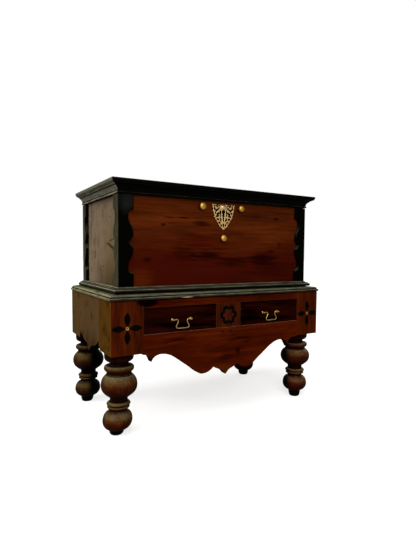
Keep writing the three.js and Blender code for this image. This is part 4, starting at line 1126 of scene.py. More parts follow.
def carried(profile: Array, stations: Sequence[Sequence[float]],
            tone: Array | None = None) -> Shape:
    """A closed profile of reach and height carried from station to station. A point lies at the
    station plus its reach times the station's direction, so a mitre is a reach at 45 degrees.

    Args:
        profile: reach and height of each point.
        stations: x, y and the direction of the reach at each.
        tone: the tone of each profile point.

    Returns:
        The shape.
    """
    place = np.array(stations, float)
    flat = place[:, None, :2] + profile[None, :, :1] * place[:, None, 2:]
    up = np.broadcast_to(profile[None, :, 1:], (*flat.shape[:2], 1))
    return grid(np.concatenate([flat, up], axis=2), tone=tone)


def eased_block(low: Sequence[float], high: Sequence[float], radius: float,
                fine: int = 3) -> Shape:
    """A block with its edges eased: each level is a rectangle with rounded corners, drawn in by a
    quarter circle at the top and the bottom.

    Args:
        low: the lowest corner.
        high: the highest corner.
        radius: the radius of the edges.
        fine: steps in each quarter circle.

    Returns:
        The shape.
    """
    low, high = np.array(low, float), np.array(high, float)
    centre, half = (low + high) / 2, (high - low) / 2
    quarter = np.linspace(0, math.pi / 2, fine + 1)
    out, rise = radius * np.sin(quarter), radius * (1 - np.cos(quarter))
    level = np.concatenate([low[2] + rise, high[2] - rise[::-1]])
    round_here = np.concatenate([out, out[::-1]])
    angle = (np.arange(4)[:, None] * math.pi / 2 + quarter[None]).ravel()
    signs = np.repeat([[1, 1], [-1, 1], [-1, -1], [1, -1]], fine + 1, axis=0)
    way = np.stack([np.cos(angle), np.sin(angle)], axis=-1)
    plan = centre[:2] + signs * (half[:2] - radius) + round_here[:, None, None] * way[None]
    up = np.broadcast_to(level[:, None, None], (*plan.shape[:2], 1))
    # Tone 1 on the rounded edges, where wear and a painted highlight go
    between = (np.arange(fine + 1) % fine != 0).astype(float)
    rubbed_and_highlit = np.maximum(np.tile(between, 2)[:, None], np.tile(between, 4)[None])
    return grid(np.concatenate([plan, up], axis=2), tone=rubbed_and_highlit)


def pulled_back(edge: Array, pitch: float, distance: float) -> Array:
    """An edge drawn back square to itself: at each place, the least of the edge nearby less the
    half chord of a circle of that distance.

    Args:
        edge: how far the edge lies from its straight side, at even places.
        pitch: the space between the places.
        distance: how far it is drawn back.

    Returns:
        The new edge.
    """
    count = int(distance // pitch)
    if count == 0:
        return edge - distance
    padded = np.pad(edge, count, mode="edge")
    near = np.lib.stride_tricks.sliding_window_view(padded, 2 * count + 1)
    chord = np.sqrt(distance**2 - (np.arange(-count, count + 1) * pitch) ** 2)
    return (near - chord).min(axis=1)


def shaped_board(run: Array, edge: Array, thickness: float, easing: float = 1.5,
                 fine: int = 3) -> Shape:
    """A board with one shaped edge, eased back and front. At each place along the run its section
    is a rectangle from the straight side to the edge, whose two corners are quarter circles.
    X is along the run, Y from the straight side to the edge, and Z the thickness.

    Args:
        run: even places along the board.
        edge: the board's width at each.
        thickness: its thickness.
        easing: the radius of the edge.
        fine: steps in each quarter circle.

    Returns:
        The shape.
    """
    pitch = run[1] - run[0]
    quarter = np.linspace(0, math.pi / 2, fine + 1)
    back = easing * (1 - np.sin(quarter))
    rise = easing * (1 - np.cos(quarter))
    drawn_in = np.concatenate([back, back[::-1]])
    level = np.concatenate([rise, thickness - rise[::-1]])
    edges = np.stack([pulled_back(edge, pitch, d) for d in drawn_in], axis=1)
    zero = np.zeros((len(run), 1))
    across = np.hstack([zero, edges, zero])
    up = np.broadcast_to(np.concatenate([[0.0], level, [thickness]]), across.shape)
    along = np.broadcast_to(run[:, None], across.shape)
    return grid(np.stack([along, across, up], axis=-1))


def plate(outline: Array, thickness: float) -> Shape:
    """A flat outline in X and Z given thickness, from its face at y 0 backwards."""
    return grid(np.stack([np.insert(outline, 1, y, axis=1) for y in (0.0, thickness)]))


def pierced(form: Callable[[Array, Array], Array], low: Pair,
            high: Pair, pitch: float, thickness: float, swell: float) -> Shape:
    """A cast plate with the outline and holes of a form that is positive in the metal and zero at
    its edge. Each cell of a grid gives the polygon of its corners in the metal and of the places
    where its sides cross the edge. The face swells from the edge inward.

    Args:
        form: the distance into the metal at places across and up.
        low: the lowest corner of the grid.
        high: its highest corner.
        pitch: the side of a cell.
        thickness: the plate's thickness at its edge.
        swell: how much thicker it is inside.

    Returns:
        The shape, with its back at y 0 and its face towards the front.
    """
    ticks = (np.arange(a, b + pitch, pitch) for a, b in zip(low, high))
    across, up = np.meshgrid(*ticks)
    spots = np.stack([across, up], axis=-1)
    depth = form(across, up)
    depth[np.abs(depth) < 0.02] = -0.02
    rows, columns = depth.shape
    corner = np.arange(depth.size).reshape(rows, columns)
    flat = depth.size + np.arange(rows * (columns - 1)).reshape(rows, columns - 1)
    tall = depth.size + flat.size + np.arange((rows - 1) * columns).reshape(rows - 1, columns)

    def crossing(first: tuple, second: tuple) -> Array:
        """Where the sides between two sets of corners cross the edge, by straight proportion.

        Args:
            first: index of the first corners in the grid.
            second: index of the second.

        Returns:
            The places across and up.
        """
        fall = depth[first] - depth[second]
        share = np.clip(depth[first] / np.where(fall == 0, 1.0, fall), 0.0, 1.0)[..., None]
        return (spots[first] + share * (spots[second] - spots[first])).reshape(-1, 2)

    every = slice(None)
    places = np.vstack([
        spots.reshape(-1, 2),
        crossing((every, slice(None, -1)), (every, slice(1, None))),
        crossing((slice(None, -1), every), (slice(1, None), every)),
    ])
    inside = np.concatenate([depth.ravel(), np.zeros(flat.size + tall.size)])
    local = np.stack([
        corner[:-1, :-1], corner[:-1, 1:], corner[1:, 1:], corner[1:, :-1],
        flat[:-1], tall[:, 1:], flat[1:], tall[:, :-1],
    ], axis=-1).reshape(-1, 8)
    full = depth.ravel() > 0
    case = (full[local[:, :4]] * [1, 2, 4, 8]).sum(axis=1)
    triangles, walls = [], []
    for kind in range(1, 16):
        held = [bool(kind >> k & 1) for k in range(4)]
        loop = []
        for k in range(4):
            if held[k]:
                loop.append(k)
            if held[k] != held[(k + 1) % 4]:
                loop.append(4 + k)
        these = local[case == kind]
        triangles += [these[:, [loop[0], loop[k], loop[k + 1]]] for k in range(1, len(loop) - 1)]
        pairs = zip(loop, loop[1:] + loop[:1])
        walls += [these[:, [a, b]] for a, b in pairs if a > 3 and b > 3]
    faces, edges = np.vstack(triangles), np.vstack(walls)
    used, again = np.unique(faces, return_inverse=True)
    faces = again.reshape(faces.shape)
    edges = np.searchsorted(used, edges)
    spot, into = places[used], inside[used]
    rise = thickness + swell * np.clip(into / (3 * pitch), 0, 1) ** 0.7
    front, back = (np.insert(spot, 1, y, axis=1) for y in (-rise, 0.0))
    count = len(spot)
    sides = np.stack([edges[:, 1], edges[:, 0], edges[:, 0] + count, edges[:, 1] + count], axis=1)
    return Shape(np.vstack([front, back]), [faces, faces[:, ::-1] + count, sides]).outward()


def smooth_path(knots: Sequence[Sequence[float]], count: int) -> Array:
    """Even places on a curve through knots, where each span is the cubic whose slope at a knot is
    half the step between its neighbours.

    Args:
        knots: the places that the curve passes.
        count: how many even places to give.

    Returns:
        The even places.
    """
    given = np.array(knots, float)
    ends = np.vstack([2 * given[0] - given[1], given, 2 * given[-1] - given[-2]])
    t = np.linspace(0, len(given) - 1, 40 * len(given))
    span = np.minimum(t.astype(int), len(given) - 2)
    u = (t - span)[:, None]
    a, b, c, d = (ends[span + k] for k in range(4))
    path = 0.5 * (2 * b + (c - a) * u + (2 * a - 5 * b + 4 * c - d) * u**2
                  + (3 * b - a - 3 * c + d) * u**3)
    far = np.concatenate([[0], np.cumsum(np.linalg.norm(np.diff(path, axis=0), axis=1))])
    even = np.linspace(0, far[-1], count)
    return np.stack([np.interp(even, far, path[:, k]) for k in range(path.shape[1])], axis=1)


def flat_tube(path: Array, radii: Array, facets: int = 14) -> Shape:
    """A round bar along a path in the X and Z plane: each ring lies in the plane of the path's
    own normal and Y.

    Args:
        path: the places, in X and Z.
        radii: the radius at each.
        facets: points round the bar.

    Returns:
        The shape.
    """
    slope = np.gradient(path, axis=0)
    slope /= np.linalg.norm(slope, axis=1, keepdims=True)
    normal = np.insert(slope[:, ::-1] * (-1, 1), 1, 0.0, axis=1)
    angle = np.arange(facets) * 2 * math.pi / facets
    centre = np.insert(path, 1, 0.0, axis=1)
    ring = (np.cos(angle)[None, :, None] * normal[:, None]
            + np.sin(angle)[None, :, None] * np.array([0.0, 1.0, 0.0]))
    return grid(centre[:, None] + radii[:, None, None] * ring)


def inside_distance(outline: Array, across: Array, up: Array) -> Array:
    """How deep places lie inside a closed outline, and below zero outside it: the least distance
    to its sides, with its sign from the number of sides that a ray to the right crosses.

    Args:
        outline: the points of the outline.
        across: how far right each place is.
        up: how far up.

    Returns:
        The depths.
    """
    place = np.stack([across, up], axis=-1)[..., None, :]
    start, end = outline, np.roll(outline, -1, axis=0)
    side = end - start
    length = np.maximum((side**2).sum(axis=1), 1e-9)
    share = np.clip(((place - start) * side).sum(axis=-1) / length, 0, 1)
    near = start + share[..., None] * side
    distance = np.linalg.norm(place - near, axis=-1).min(axis=-1)
    over = (start[:, 1] > up[..., None]) != (end[:, 1] > up[..., None])
    rise = np.where(side[:, 1] == 0, 1e-9, side[:, 1])
    crossing = start[:, 0] + (up[..., None] - start[:, 1]) / rise * side[:, 0]
    inside = (over & (across[..., None] < crossing)).sum(axis=-1) % 2 == 1
    return np.where(inside, distance, -distance)


def placed(name: str, data: bpy.types.ID) -> bpy.types.Object:
    """A new object in the scene.

    Args:
        name: its name.
        data: its mesh, its light or its camera.

    Returns:
        The object.
    """
    thing = bpy.data.objects.new(name, data)
    bpy.context.scene.collection.objects.link(thing)
    return thing


def fit(name: str, shape: Shape, finish: Finish, body: str, *nodes: str,
        crease: float = CREASE_PLAIN) -> None:
    """Puts a shape into the scene as a piece that rides on a body and stands for nodes.

    Args:
        name: the piece's name.
        shape: its surface.
        finish: its finish.
        body: the body it rides on.
        nodes: the nodes that it replaces.
        crease: the angle in degrees past which an edge is sharp.
    """
    mesh = bpy.data.meshes.new(name)
    faces = [corners for block in shape.faces for corners in block.tolist()]
    mesh.from_pydata((shape.points * MM).tolist(), [], faces)
    mesh.polygons.foreach_set("use_smooth", np.ones(len(mesh.polygons), bool))
    mesh.set_sharp_from_angle(angle=math.radians(crease))
    if shape.tone is not None:
        tone = mesh.attributes.new("tone", "FLOAT", "POINT")
        tone.data.foreach_set("value", shape.tone.astype(np.float32))
    piece = placed(name, mesh)
    mesh.materials.append(made(finish))
    flats = piece.modifiers.new("flat faces stay flat", "WEIGHTED_NORMAL")
    flats.keep_sharp = True
    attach(piece, body)
    if nodes:
        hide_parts(*nodes)
    log.info("%s: %d points, on %s", name, len(shape.points), body)


def dress(finish: Finish, *nodes: str) -> None:
    """Gives CAD nodes a finish.

    Args:
        finish: the finish.
        nodes: the nodes that keep their own solids.
    """
    for node in nodes:
        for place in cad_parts[node].material_slots:
            place.material = made(finish)
        log.info("%s: dressed in %s", node, finish.name)


@dataclass(frozen=True)
class Place:
    """Where a node lies at rest: its lowest and its highest corner, in millimetres."""

    low: Array
    high: Array

    @classmethod
    def of(cls, node: str) -> "Place":
        """The place of one of the frame's nodes."""
        low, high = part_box(node)
        return cls(np.array(low) / MM, np.array(high) / MM)

    @property
    def centre(self) -> Array:
        """The middle between both corners."""
        return (self.low + self.high) / 2

    @property
    def size(self) -> Array:
        """Width, depth and height."""
        return self.high - self.low


def closed_back(points: Array, tone: Array, back: float, base: float,
                ) -> tuple[Array, Array]:
    """A moulding's closed profile and its tones: moulded outside, flat inside, above a base."""
    profile = np.vstack([[[back, 0.0]], points[1:], [[back, points[-1, 1]]]]) + (0.0, base)
    return profile, np.concatenate([[0.0], tone[1:], [0.5]])


def mitred_runs(name: str, nodes: str, moulding: tuple[Array, Array], body: str,
                finishes: tuple[Finish, Finish], corner: Pair,
                back: float) -> None:
    """Fits a moulding in three runs, front, left and right, mitred at the front corners.

    Args:
        name: what the pieces are called before their side.
        nodes: what the nodes are called before their side.
        moulding: the closed profile and its tones.
        body: the body that the runs ride on.
        finishes: the finish of the front run, and that of the other two.
        corner: x and y of the front run's right end.
        back: y of the other runs' back ends.
    """
    profile, tone = moulding
    x, y = corner
    fit(f"{name}_front", carried(profile, [(-x, y, -1, -1), (x, y, 1, -1)], tone), finishes[0],
        body, f"{nodes}_front", crease=CREASE_MOULDING)
    for side in Side:
        out = side.value
        at = out * (x + MITRE_GAP)
        run = [(at, y + MITRE_GAP, out, -1), (at, back, out, 0)]
        fit(f"{name}_{side.word}", carried(profile, run, tone), finishes[1], body,
            f"{nodes}_{side.word}", crease=CREASE_MOULDING)


@dataclass(frozen=True)
class Turning:
    """What sets one leg apart: where its foot and its ball end on the drawing, how far it leans
    aside at the floor in millimetres, and its wood."""

    foot: float
    ball: float
    stance: float
    wood: TurnedWood


LEG_TURNINGS = {
    ("front", Side.LEFT): Turning(0.062, 0.598, -14.0, LEG_WOOD),
    ("front", Side.RIGHT): Turning(0.1, 0.632, 0.0, RIGHT_LEG_WOOD),
    ("back", Side.LEFT): Turning(0.083, 0.61, -9.0, BACK_LEG_WOOD),
    ("back", Side.RIGHT): Turning(0.083, 0.614, 0.0, FAR_LEG_WOOD),
}


@dataclass
class Legs:
    """Four turned legs, the most skilled work of the chest: each is one turning."""

    ball_radius: float = 81.0
    bend_share: float = 0.56
    bend_power: float = 1.4
    tenon_radius: float = 22.0
    tenon_length: float = 70.0
    tenon_tone: float = 0.1
    facets: int = 96

    def build(self) -> None:
        """Turns one profile and stands it at each leg's place. Each leg was turned by hand: its
        foot and its ball end at heights of their own, and its stance draws it aside below the
        ball, more the further down a place lies."""
        for (end, side), turning in LEG_TURNINGS.items():
            node = f"leg_{end}_{side.word}"
            place = Place.of(node)
            height = place.high[2] - self.tenon_length
            profile, tone = drawn(LEG_PROFILE, self.ball_radius, height)
            marks = (0.0, turning.foot, turning.ball, *LEG_MARKS[3:])
            profile[:, 1] = height * np.interp(profile[:, 1] / height, LEG_MARKS, marks)
            tenon = [[self.tenon_radius, height], [self.tenon_radius, place.high[2]]]
            leg = turned(np.vstack([profile, tenon]), self.facets,
                         np.concatenate([tone, [self.tenon_tone] * len(tenon)]))
            down = np.clip(1 - leg.points[:, 2] / (self.bend_share * height), 0, 1)
            leg.points[:, 0] += turning.stance * down**self.bend_power
            fit(f"turned_{node}", leg.moved(*place.centre[:2]), turning.wood, "chest", node,
                crease=CREASE_LEG)


@dataclass
class Stand:
    """The stand: posts, rails, apron, end panels, mouldings and inlays."""

    post_easing: float = 2.2
    rail_easing: float = 1.0
    arris: float = 3.0
    arris_shift: Triple = (0.0, -0.15, -0.05)
    run_points: int = 420
    apron_shift: float = -14.0
    panel_drop: float = 79.0
    moulding_reach: float = 58.0
    moulding_back: float = -14.5
    inlay_proud: float = 0.25
    inlay_depth: float = 3.0
    petal_reach: float = 70.0
    petal_width: float = 27.0
    petal_inner: float = 7.0
    petal_skew: float = 1.05
    petal_fullness: float = 0.85
    petal_points: int = 18
    ring_radius: float = 7.2
    bead_share: float = 0.5
    eye_height: float = 0.9
    rosette_radius: float = 49.0
    rosette_points: int = 144
    lobe_fullness: float = 0.8
    outer_shares: Pair = (0.75, 0.25)
    inner_shares: Pair = (0.42, 0.24)
    rosette_pin: float = 3.6
    pegs: tuple[Triple, ...] = ((-34.0, 434.0, 6.0), (12.0, 434.5, 6.0), (-480.0, 424.0, 3.4))
    peg_height: float = 0.5

    def build(self) -> None:
        """Builds the stand from its posts outward."""
        self.posts_and_rail()
        self.apron()
        self.panels()
        self.mouldings()
        self.inlays()

    def posts_and_rail(self) -> None:
        """Posts, rail and muntin with eased edges, and the plain boards inside."""
        posts = {f"corner_post_{end}_{side.word}": (wood, self.post_easing)
                 for end, wood in (("front", POST_JACKWOOD), ("back", BACK_POST_JACKWOOD))
                 for side in Side}
        rails = {"top_rail": (RAIL_JACKWOOD, self.rail_easing),
                 "centre_muntin": (MUNTIN_JACKWOOD, self.rail_easing)}
        for node, (wood, easing) in {**posts, **rails}.items():
            place = Place.of(node)
            fit(f"eased_{node}", eased_block(place.low, place.high, easing), wood, "chest", node)
        dress(INSIDE_JACKWOOD, "stand_back_panel")
        dress(INSIDE_DEEP, "drawer_runner_left", "drawer_runner_right", "drawer_runner_centre")

    def apron(self) -> None:
        """The scalloped apron, its edge eased and its width the same outline as the frame's, and
        the pale strip of a painted highlight along its top arris."""
        place = Place.of("front_apron")
        face, top = place.low[1], place.high[2]
        half, drop = place.size[0] / 2, place.size[2]
        outline, _ = drawn(APRON_EDGE, half, drop, fine=24)
        run = np.linspace(-half, half, self.run_points)
        edge = drop - np.interp(np.abs(run - self.apron_shift), *outline.T)
        board = shaped_board(run, edge, place.size[1])
        arris = eased_block((-half, face, top - self.arris), (half, face + self.arris, top),
                            self.rail_easing)
        fit("rubbed_apron_arris", arris.moved(*self.arris_shift), ARRIS_JACKWOOD, "chest")
        fit("scalloped_apron", board.turned_to(((1, 0, 0), (0, 0, -1), (0, 1, 0)),
                                               (0, face, top)),
            RAIL_JACKWOOD, "chest", "front_apron")

    def panels(self) -> None:
        """The two end panels with their shaped lower edges."""
        for side in Side:
            node = f"side_panel_{side.word}"
            place = Place.of(node)
            half = place.size[1] / 2
            outline, _ = drawn(SIDE_EDGE, half, self.panel_drop, fine=24)
            run = np.linspace(-half, half, self.run_points // 2)
            rise = np.interp(np.abs(run), *outline.T)
            board = shaped_board(run, place.size[2] - rise, place.size[0])
            fit(f"shaped_{node}", board.turned_to(
                ((0, 1, 0), (0, 0, -1), (1, 0, 0)),
                (place.low[0], place.centre[1], place.high[2])),
                PANEL_JACKWOOD, "chest", node)

    def mouldings(self) -> None:
        """The moulding that forms the tray, mitred at the front corners."""
        front = Place.of("stand_moulding_front")
        points, tone = drawn(STAND_PROFILE, self.moulding_reach, front.size[2])
        corner = (-front.low[0] - self.moulding_reach, front.low[1] + self.moulding_reach)
        mitred_runs("tray_moulding", "stand_moulding",
                    closed_back(points, tone, self.moulding_back, front.low[2]), "chest",
                    (TRAY_MOULDING, TRAY_SIDE_MOULDING), corner,
                    Place.of("stand_moulding_left").high[1])

    def inlays(self) -> None:
        """Petals on the posts, the rosette on the muntin, and the small pegs."""
        for side in Side:
            node = f"petal_inlay_{side.word}"
            face = self.inlay_face(node)
            fit(f"ebony_petals_{side.word}", self.petals().moved(*face), INLAY_EBONY, "chest",
                node)
            self.eye(side, face)
        face = self.inlay_face("rosette_inlay")
        fit("ebony_rosette", self.rosette().moved(*face), INLAY_EBONY, "chest", "rosette_inlay")
        apron = Place.of("front_apron").low[1]
        heads = [
            headed(PEG_HEAD, radius, self.peg_height, (1.0, -1.0), -self.peg_height, 24)
            .turned_to(FACING_FRONT, (x, apron, z))
            for x, z, radius in ((0.0, face[2], self.rosette_pin), *self.pegs)]
        fit("ebony_pegs", heads[0].joined(*heads[1:]), INLAY_EBONY, "chest")

    def inlay_face(self, node: str) -> Triple:
        """The middle of an inlay's face, a hair proud of the wood."""
        place = Place.of(node)
        return (place.centre[0], place.low[1] - self.inlay_proud, place.centre[2])

    def petals(self) -> Shape:
        """Four lenses round a centre: the half width is a sine of the share along the petal, so
        both ends are pointed.

        Returns:
            The four petals.
        """
        share = np.linspace(0, 1, self.petal_points)
        sine = np.sin(math.pi * share**self.petal_skew)
        half = self.petal_width / 2 * sine**self.petal_fullness
        along = self.petal_inner + share * (self.petal_reach - self.petal_inner)
        right = np.stack([half, along], axis=1)[1:-1]
        tips = np.array([[0, self.petal_inner], [0, self.petal_reach]])
        lens = np.vstack([tips[:1], right, tips[1:], (right * (-1, 1))[::-1]])
        turns = [np.array([[math.cos(a), math.sin(a)], [-math.sin(a), math.cos(a)]])
                 for a in np.arange(4) * math.pi / 2]
        shapes = [plate(lens @ turn, self.inlay_depth) for turn in turns]
        return shapes[0].joined(*shapes[1:])

    def eye(self, side: Side, face: Triple) -> None:
        """The brass ring with a red bead at the middle of the petals.

        Args:
            side: the post's side.
            face: the middle of the inlay's face.
        """
        high = self.eye_height
        ring = headed(EYE_RING, self.ring_radius, high, (1.0, -1.0), -high)
        fit(f"brass_eye_{side.word}", ring.turned_to(FACING_FRONT, face), CAST_BRASS, "chest")
        bead = headed(EYE_BEAD, self.ring_radius * self.bead_share, high, (1.0, 0.4), high / 3)
        fit(f"red_bead_{side.word}", bead.turned_to(FACING_FRONT, face), FRONT_JACKWOOD, "chest")

    def rosette(self) -> Shape:
        """A closed band of six lobes: both its radii swell with the cosine of three times the
        angle, without its sign.

        Returns:
            The band.
        """
        angle = np.linspace(0, 2 * math.pi, self.rosette_points, endpoint=False)
        lobe = np.abs(np.cos(3 * angle)) ** self.lobe_fullness
        outer, inner = (self.rosette_radius * (least + more * lobe)
                        for least, more in (self.outer_shares, self.inner_shares))
        deep = self.inlay_depth
        way = np.stack([np.cos(angle), np.sin(angle)])
        section = [np.insert((way * radius).T, 1, y, axis=1)
                   for radius, y in ((outer, 0.0), (outer, deep), (inner, deep), (inner, 0.0))]
        return grid(np.stack(section, axis=1), looped=True)


@dataclass
class Coffer:
    """The chest itself: five boards, four corner mounts and the base moulding."""

    mount_widths: tuple[tuple[str, Side, float], ...] = (
        ("front", Side.LEFT, 73.0), ("front", Side.RIGHT, 66.0),
        ("back", Side.LEFT, 62.0), ("back", Side.RIGHT, 62.0))
    # A leaf's section from its flat to its back: how far each line is drawn back from the
    # scalloped edge, and how deep it lies
    mount_section: tuple[Pair, ...] = (
        (5.5, 0.0), (5.0, 0.15), (0.5, 4.8), (0.0, 5.5), (0.0, 16.0))
    mount_corner: float = 1.6
    mount_pitch: float = 1.0
    mount_sunk: float = 4.5
    moulding_reach: float = 24.0
    moulding_back: float = -15.7

    def build(self) -> None:
        """Dresses the boards, then builds the mounts and the moulding."""
        dress(FRONT_JACKWOOD, "coffer_front_board")
        dress(SIDE_JACKWOOD, "coffer_left_board", "coffer_right_board")
        dress(INSIDE_JACKWOOD, "coffer_back_board", "coffer_bottom_board")
        self.mounts()
        self.moulding()

    def mounts(self) -> None:
        """Scalloped leaves at the corners: two at the front ones and one at the back ones. Each
        level's section is a loop round the leaves, and the scalloped edge is bevelled by drawing
        it back square to itself."""
        height = Place.of("corner_mount_front_left").size[2]
        outline, _ = drawn(MOUNT_EDGE, 1.0, height, start=(1.0, 0.0), fine=24)
        level = np.linspace(-self.mount_sunk, height, int(height / self.mount_pitch) + 1)
        rising = np.maximum.accumulate(outline[:, 1] + 1e-6 * np.arange(len(outline)))
        edge = np.interp(level, rising, outline[:, 0])
        for end, side, width in self.mount_widths:
            self.mount(end, side, level, edge * width)

    def mount(self, end: str, side: Side, level: Array, edge: Array) -> None:
        """The mount of one corner.

        Args:
            end: front or back.
            side: left or right.
            level: even heights above the mount's foot.
            edge: a leaf's width at each.
        """
        node = f"corner_mount_{end}_{side.word}"
        place = Place.of(node)
        pitch, thick = level[1] - level[0], self.mount_section[-1][1]
        front_leaf = [(pulled_back(edge, pitch, back), deep) for back, deep in self.mount_section]
        side_leaf = [(deep, reach) for reach, deep in front_leaf]
        corner = [(self.mount_corner * (1 - math.sin(a)), self.mount_corner * (1 - math.cos(a)))
                  for a in np.linspace(0, math.pi / 2, 4)]
        if end == "front":
            loop = [*front_leaf[::-1], *corner, *side_leaf, (thick, thick)]
            inward, y = 1, place.low[1]
        else:
            loop = [(thick, 0.0), *corner, *side_leaf]
            inward, y = -1, place.high[1]
        lines = [np.stack(np.broadcast_arrays(across, deep, level), axis=-1)
                 for across, deep in loop]
        shape = grid(np.stack(lines, axis=1))
        x = place.low[0] if side is Side.LEFT else place.high[0]
        points = shape.points * (-side.value, inward, 1) + (x, y, place.low[2])
        fit(f"scalloped_{node}", Shape(points, shape.faces).outward(), MOUNT_EBONY, "chest",
            node, crease=CREASE_MOUNT)

    def moulding(self) -> None:
        """The moulding round the coffer's foot, one profile mitred at both front corners. The
        mounts are sunk a little into its top."""
        place = Place.of("coffer_base_moulding")
        points, tone = drawn(BASE_PROFILE, self.moulding_reach, place.size[2] - self.mount_sunk)
        profile, shades = closed_back(points, tone, self.moulding_back, place.low[2])
        left, y = Place.of("corner_mount_front_left").low[:2]
        back = place.high[1]
        run = [(left, back, -1, 0), (left, y, -1, -1), (-left, y, 1, -1), (-left, back, 1, 0)]
        fit("base_moulding", carried(profile, run, shades), TRAY_MOULDING, "chest",
            "coffer_base_moulding", crease=CREASE_MOULDING)


@dataclass
class Lock:
    """The pierced brass lock plate with its boss, and three domed studs."""

    width: float = 134.0
    height: float = 126.0
    thickness: float = 1.4
    swell: float = 0.6
    proud: float = 0.3
    pitch: float = 0.7
    margin: float = 2.0
    rim: float = 0.8
    hole_growth: float = 1.72
    boss_radius: float = 12.0
    boss_height: float = 9.0
    boss_drop: float = 15.0
    boss_stretch: float = 1.5
    boss_margin: float = 1.0
    keyhole_drop: float = 38.0
    keyhole_radius: float = 10.5
    keyhole_slot: Pair = (12.5, 25.0)
    # The black sheet under the plate, which paints the shadow in its holes and along its lower left
    # edge
    shadow_sheet_scale: Pair = (1.035, 1.01)
    shadow_sheet_shift: Pair = (1.2, 2.0)
    shadow_sheet_thickness: float = 0.25
    shadow_sheet_proud: float = 0.05
    stud_radii: tuple[tuple[str, float], ...] = (("left", 18.0), ("right", 16.5), ("lower", 16.5))
    stud_height: float = 16.0
    shank_radius: float = 4.5

    def build(self) -> None:
        """Casts the plate, the boss and the studs."""
        face = Place.of("coffer_front_board").low[1] - self.proud
        self.cast_plate(face)
        for where, radius in self.stud_radii:
            node = f"lock_stud_{where}"
            place = Place.of(node)
            head, _ = drawn(STUD_HEAD, radius, self.stud_height, start=(0.86, 0.0))
            inside = face - place.high[1]
            shank = [[0.0, inside], [self.shank_radius, inside], [self.shank_radius, 0.0]]
            fit(f"domed_{node}", turned(np.vstack([shank, head])).turned_to(
                FACING_FRONT, (place.centre[0], face, place.centre[2])), CAST_BRASS, "chest",
                node)
        dress(FORGED_IRON, "lock_case")

    def cast_plate(self, face: float) -> None:
        """The plate, its boss, and the black sheet under it that paints the shadow in its holes and
        at its edge.

        Args:
            face: y of the plate's back.
        """
        place = Place.of("lock_plate")
        middle, foot = place.centre[0], place.high[2] - self.height
        reach = self.width / 2 + self.margin
        cast = pierced(self.form, (-reach, -self.margin), (reach, self.height + self.margin),
                       self.pitch, self.thickness, self.swell)
        fit("pierced_lock_plate", cast.moved(middle, face, foot), PIERCED_BRASS, "chest",
            "lock_plate", crease=CREASE_CAST)
        boss = headed(BOSS_HEAD, self.boss_radius, self.boss_height, (1.0, 0.0), 0.0).turned_to(
            FACING_FRONT, (0, 0, self.height - self.boss_drop))
        boss.points[:, 0] *= self.boss_stretch
        fit("lock_plate_boss", boss.moved(middle, face, foot), BRIGHT_BRASS, "chest",
            "lock_plate")
        # A black sheet that paints the shadow in the plate's holes and along its lower left edge
        under = plate(self.outline() * self.shadow_sheet_scale - self.shadow_sheet_shift,
                      self.shadow_sheet_thickness)
        fit("lock_plate_shadow_sheet", under.moved(middle, face - self.shadow_sheet_proud, foot), SHADOW_SHEET,
            "chest")

    def outline(self) -> Array:
        """The shield's outline: the drawn right side, and its mirror image back down."""
        right, _ = drawn(LOCK_OUTLINE, self.width / 2, self.height, fine=7)
        return np.vstack([right, (right[1:-1] * (-1, 1))[::-1]])

    def form(self, across: Array, up: Array) -> Array:
        """How deep places lie in the metal: inside a shield with lobed sides and outside its
        holes, each of them a leaning ellipse. None cuts the rim or the boss but the keyhole.

        Args:
            across: how far right of the axis each place is.
            up: how far above the foot.

        Returns:
            The depths, below zero outside the metal.
        """
        outline = inside_distance(self.outline(), across, up)
        holes = np.full(across.shape, np.inf)
        for over, drop, length, width, degrees in LOCK_HOLES:
            lean = math.radians(degrees)
            dx, dz = np.abs(across) - over, up - self.height + drop
            along = (dx * math.cos(lean) + dz * math.sin(lean)) / length
            wide = (-dx * math.sin(lean) + dz * math.cos(lean)) / width
            holes = np.minimum(holes, (np.hypot(along, wide) - self.hole_growth) * width)
        boss = np.hypot(across / self.boss_stretch, up - self.height + self.boss_drop)
        boss = boss - self.boss_radius - self.boss_margin
        kept = np.maximum(self.rim - outline, -boss)
        depth = np.minimum(outline, np.maximum(holes, kept))
        level = self.height - self.keyhole_drop
        wide, long = self.keyhole_slot
        round_hole = np.hypot(across, up - level) - self.keyhole_radius
        slot = np.maximum(np.abs(across) - wide / 2, np.abs(up - level + long / 2) - long / 2)
        return np.minimum(np.minimum(depth, round_hole), slot)


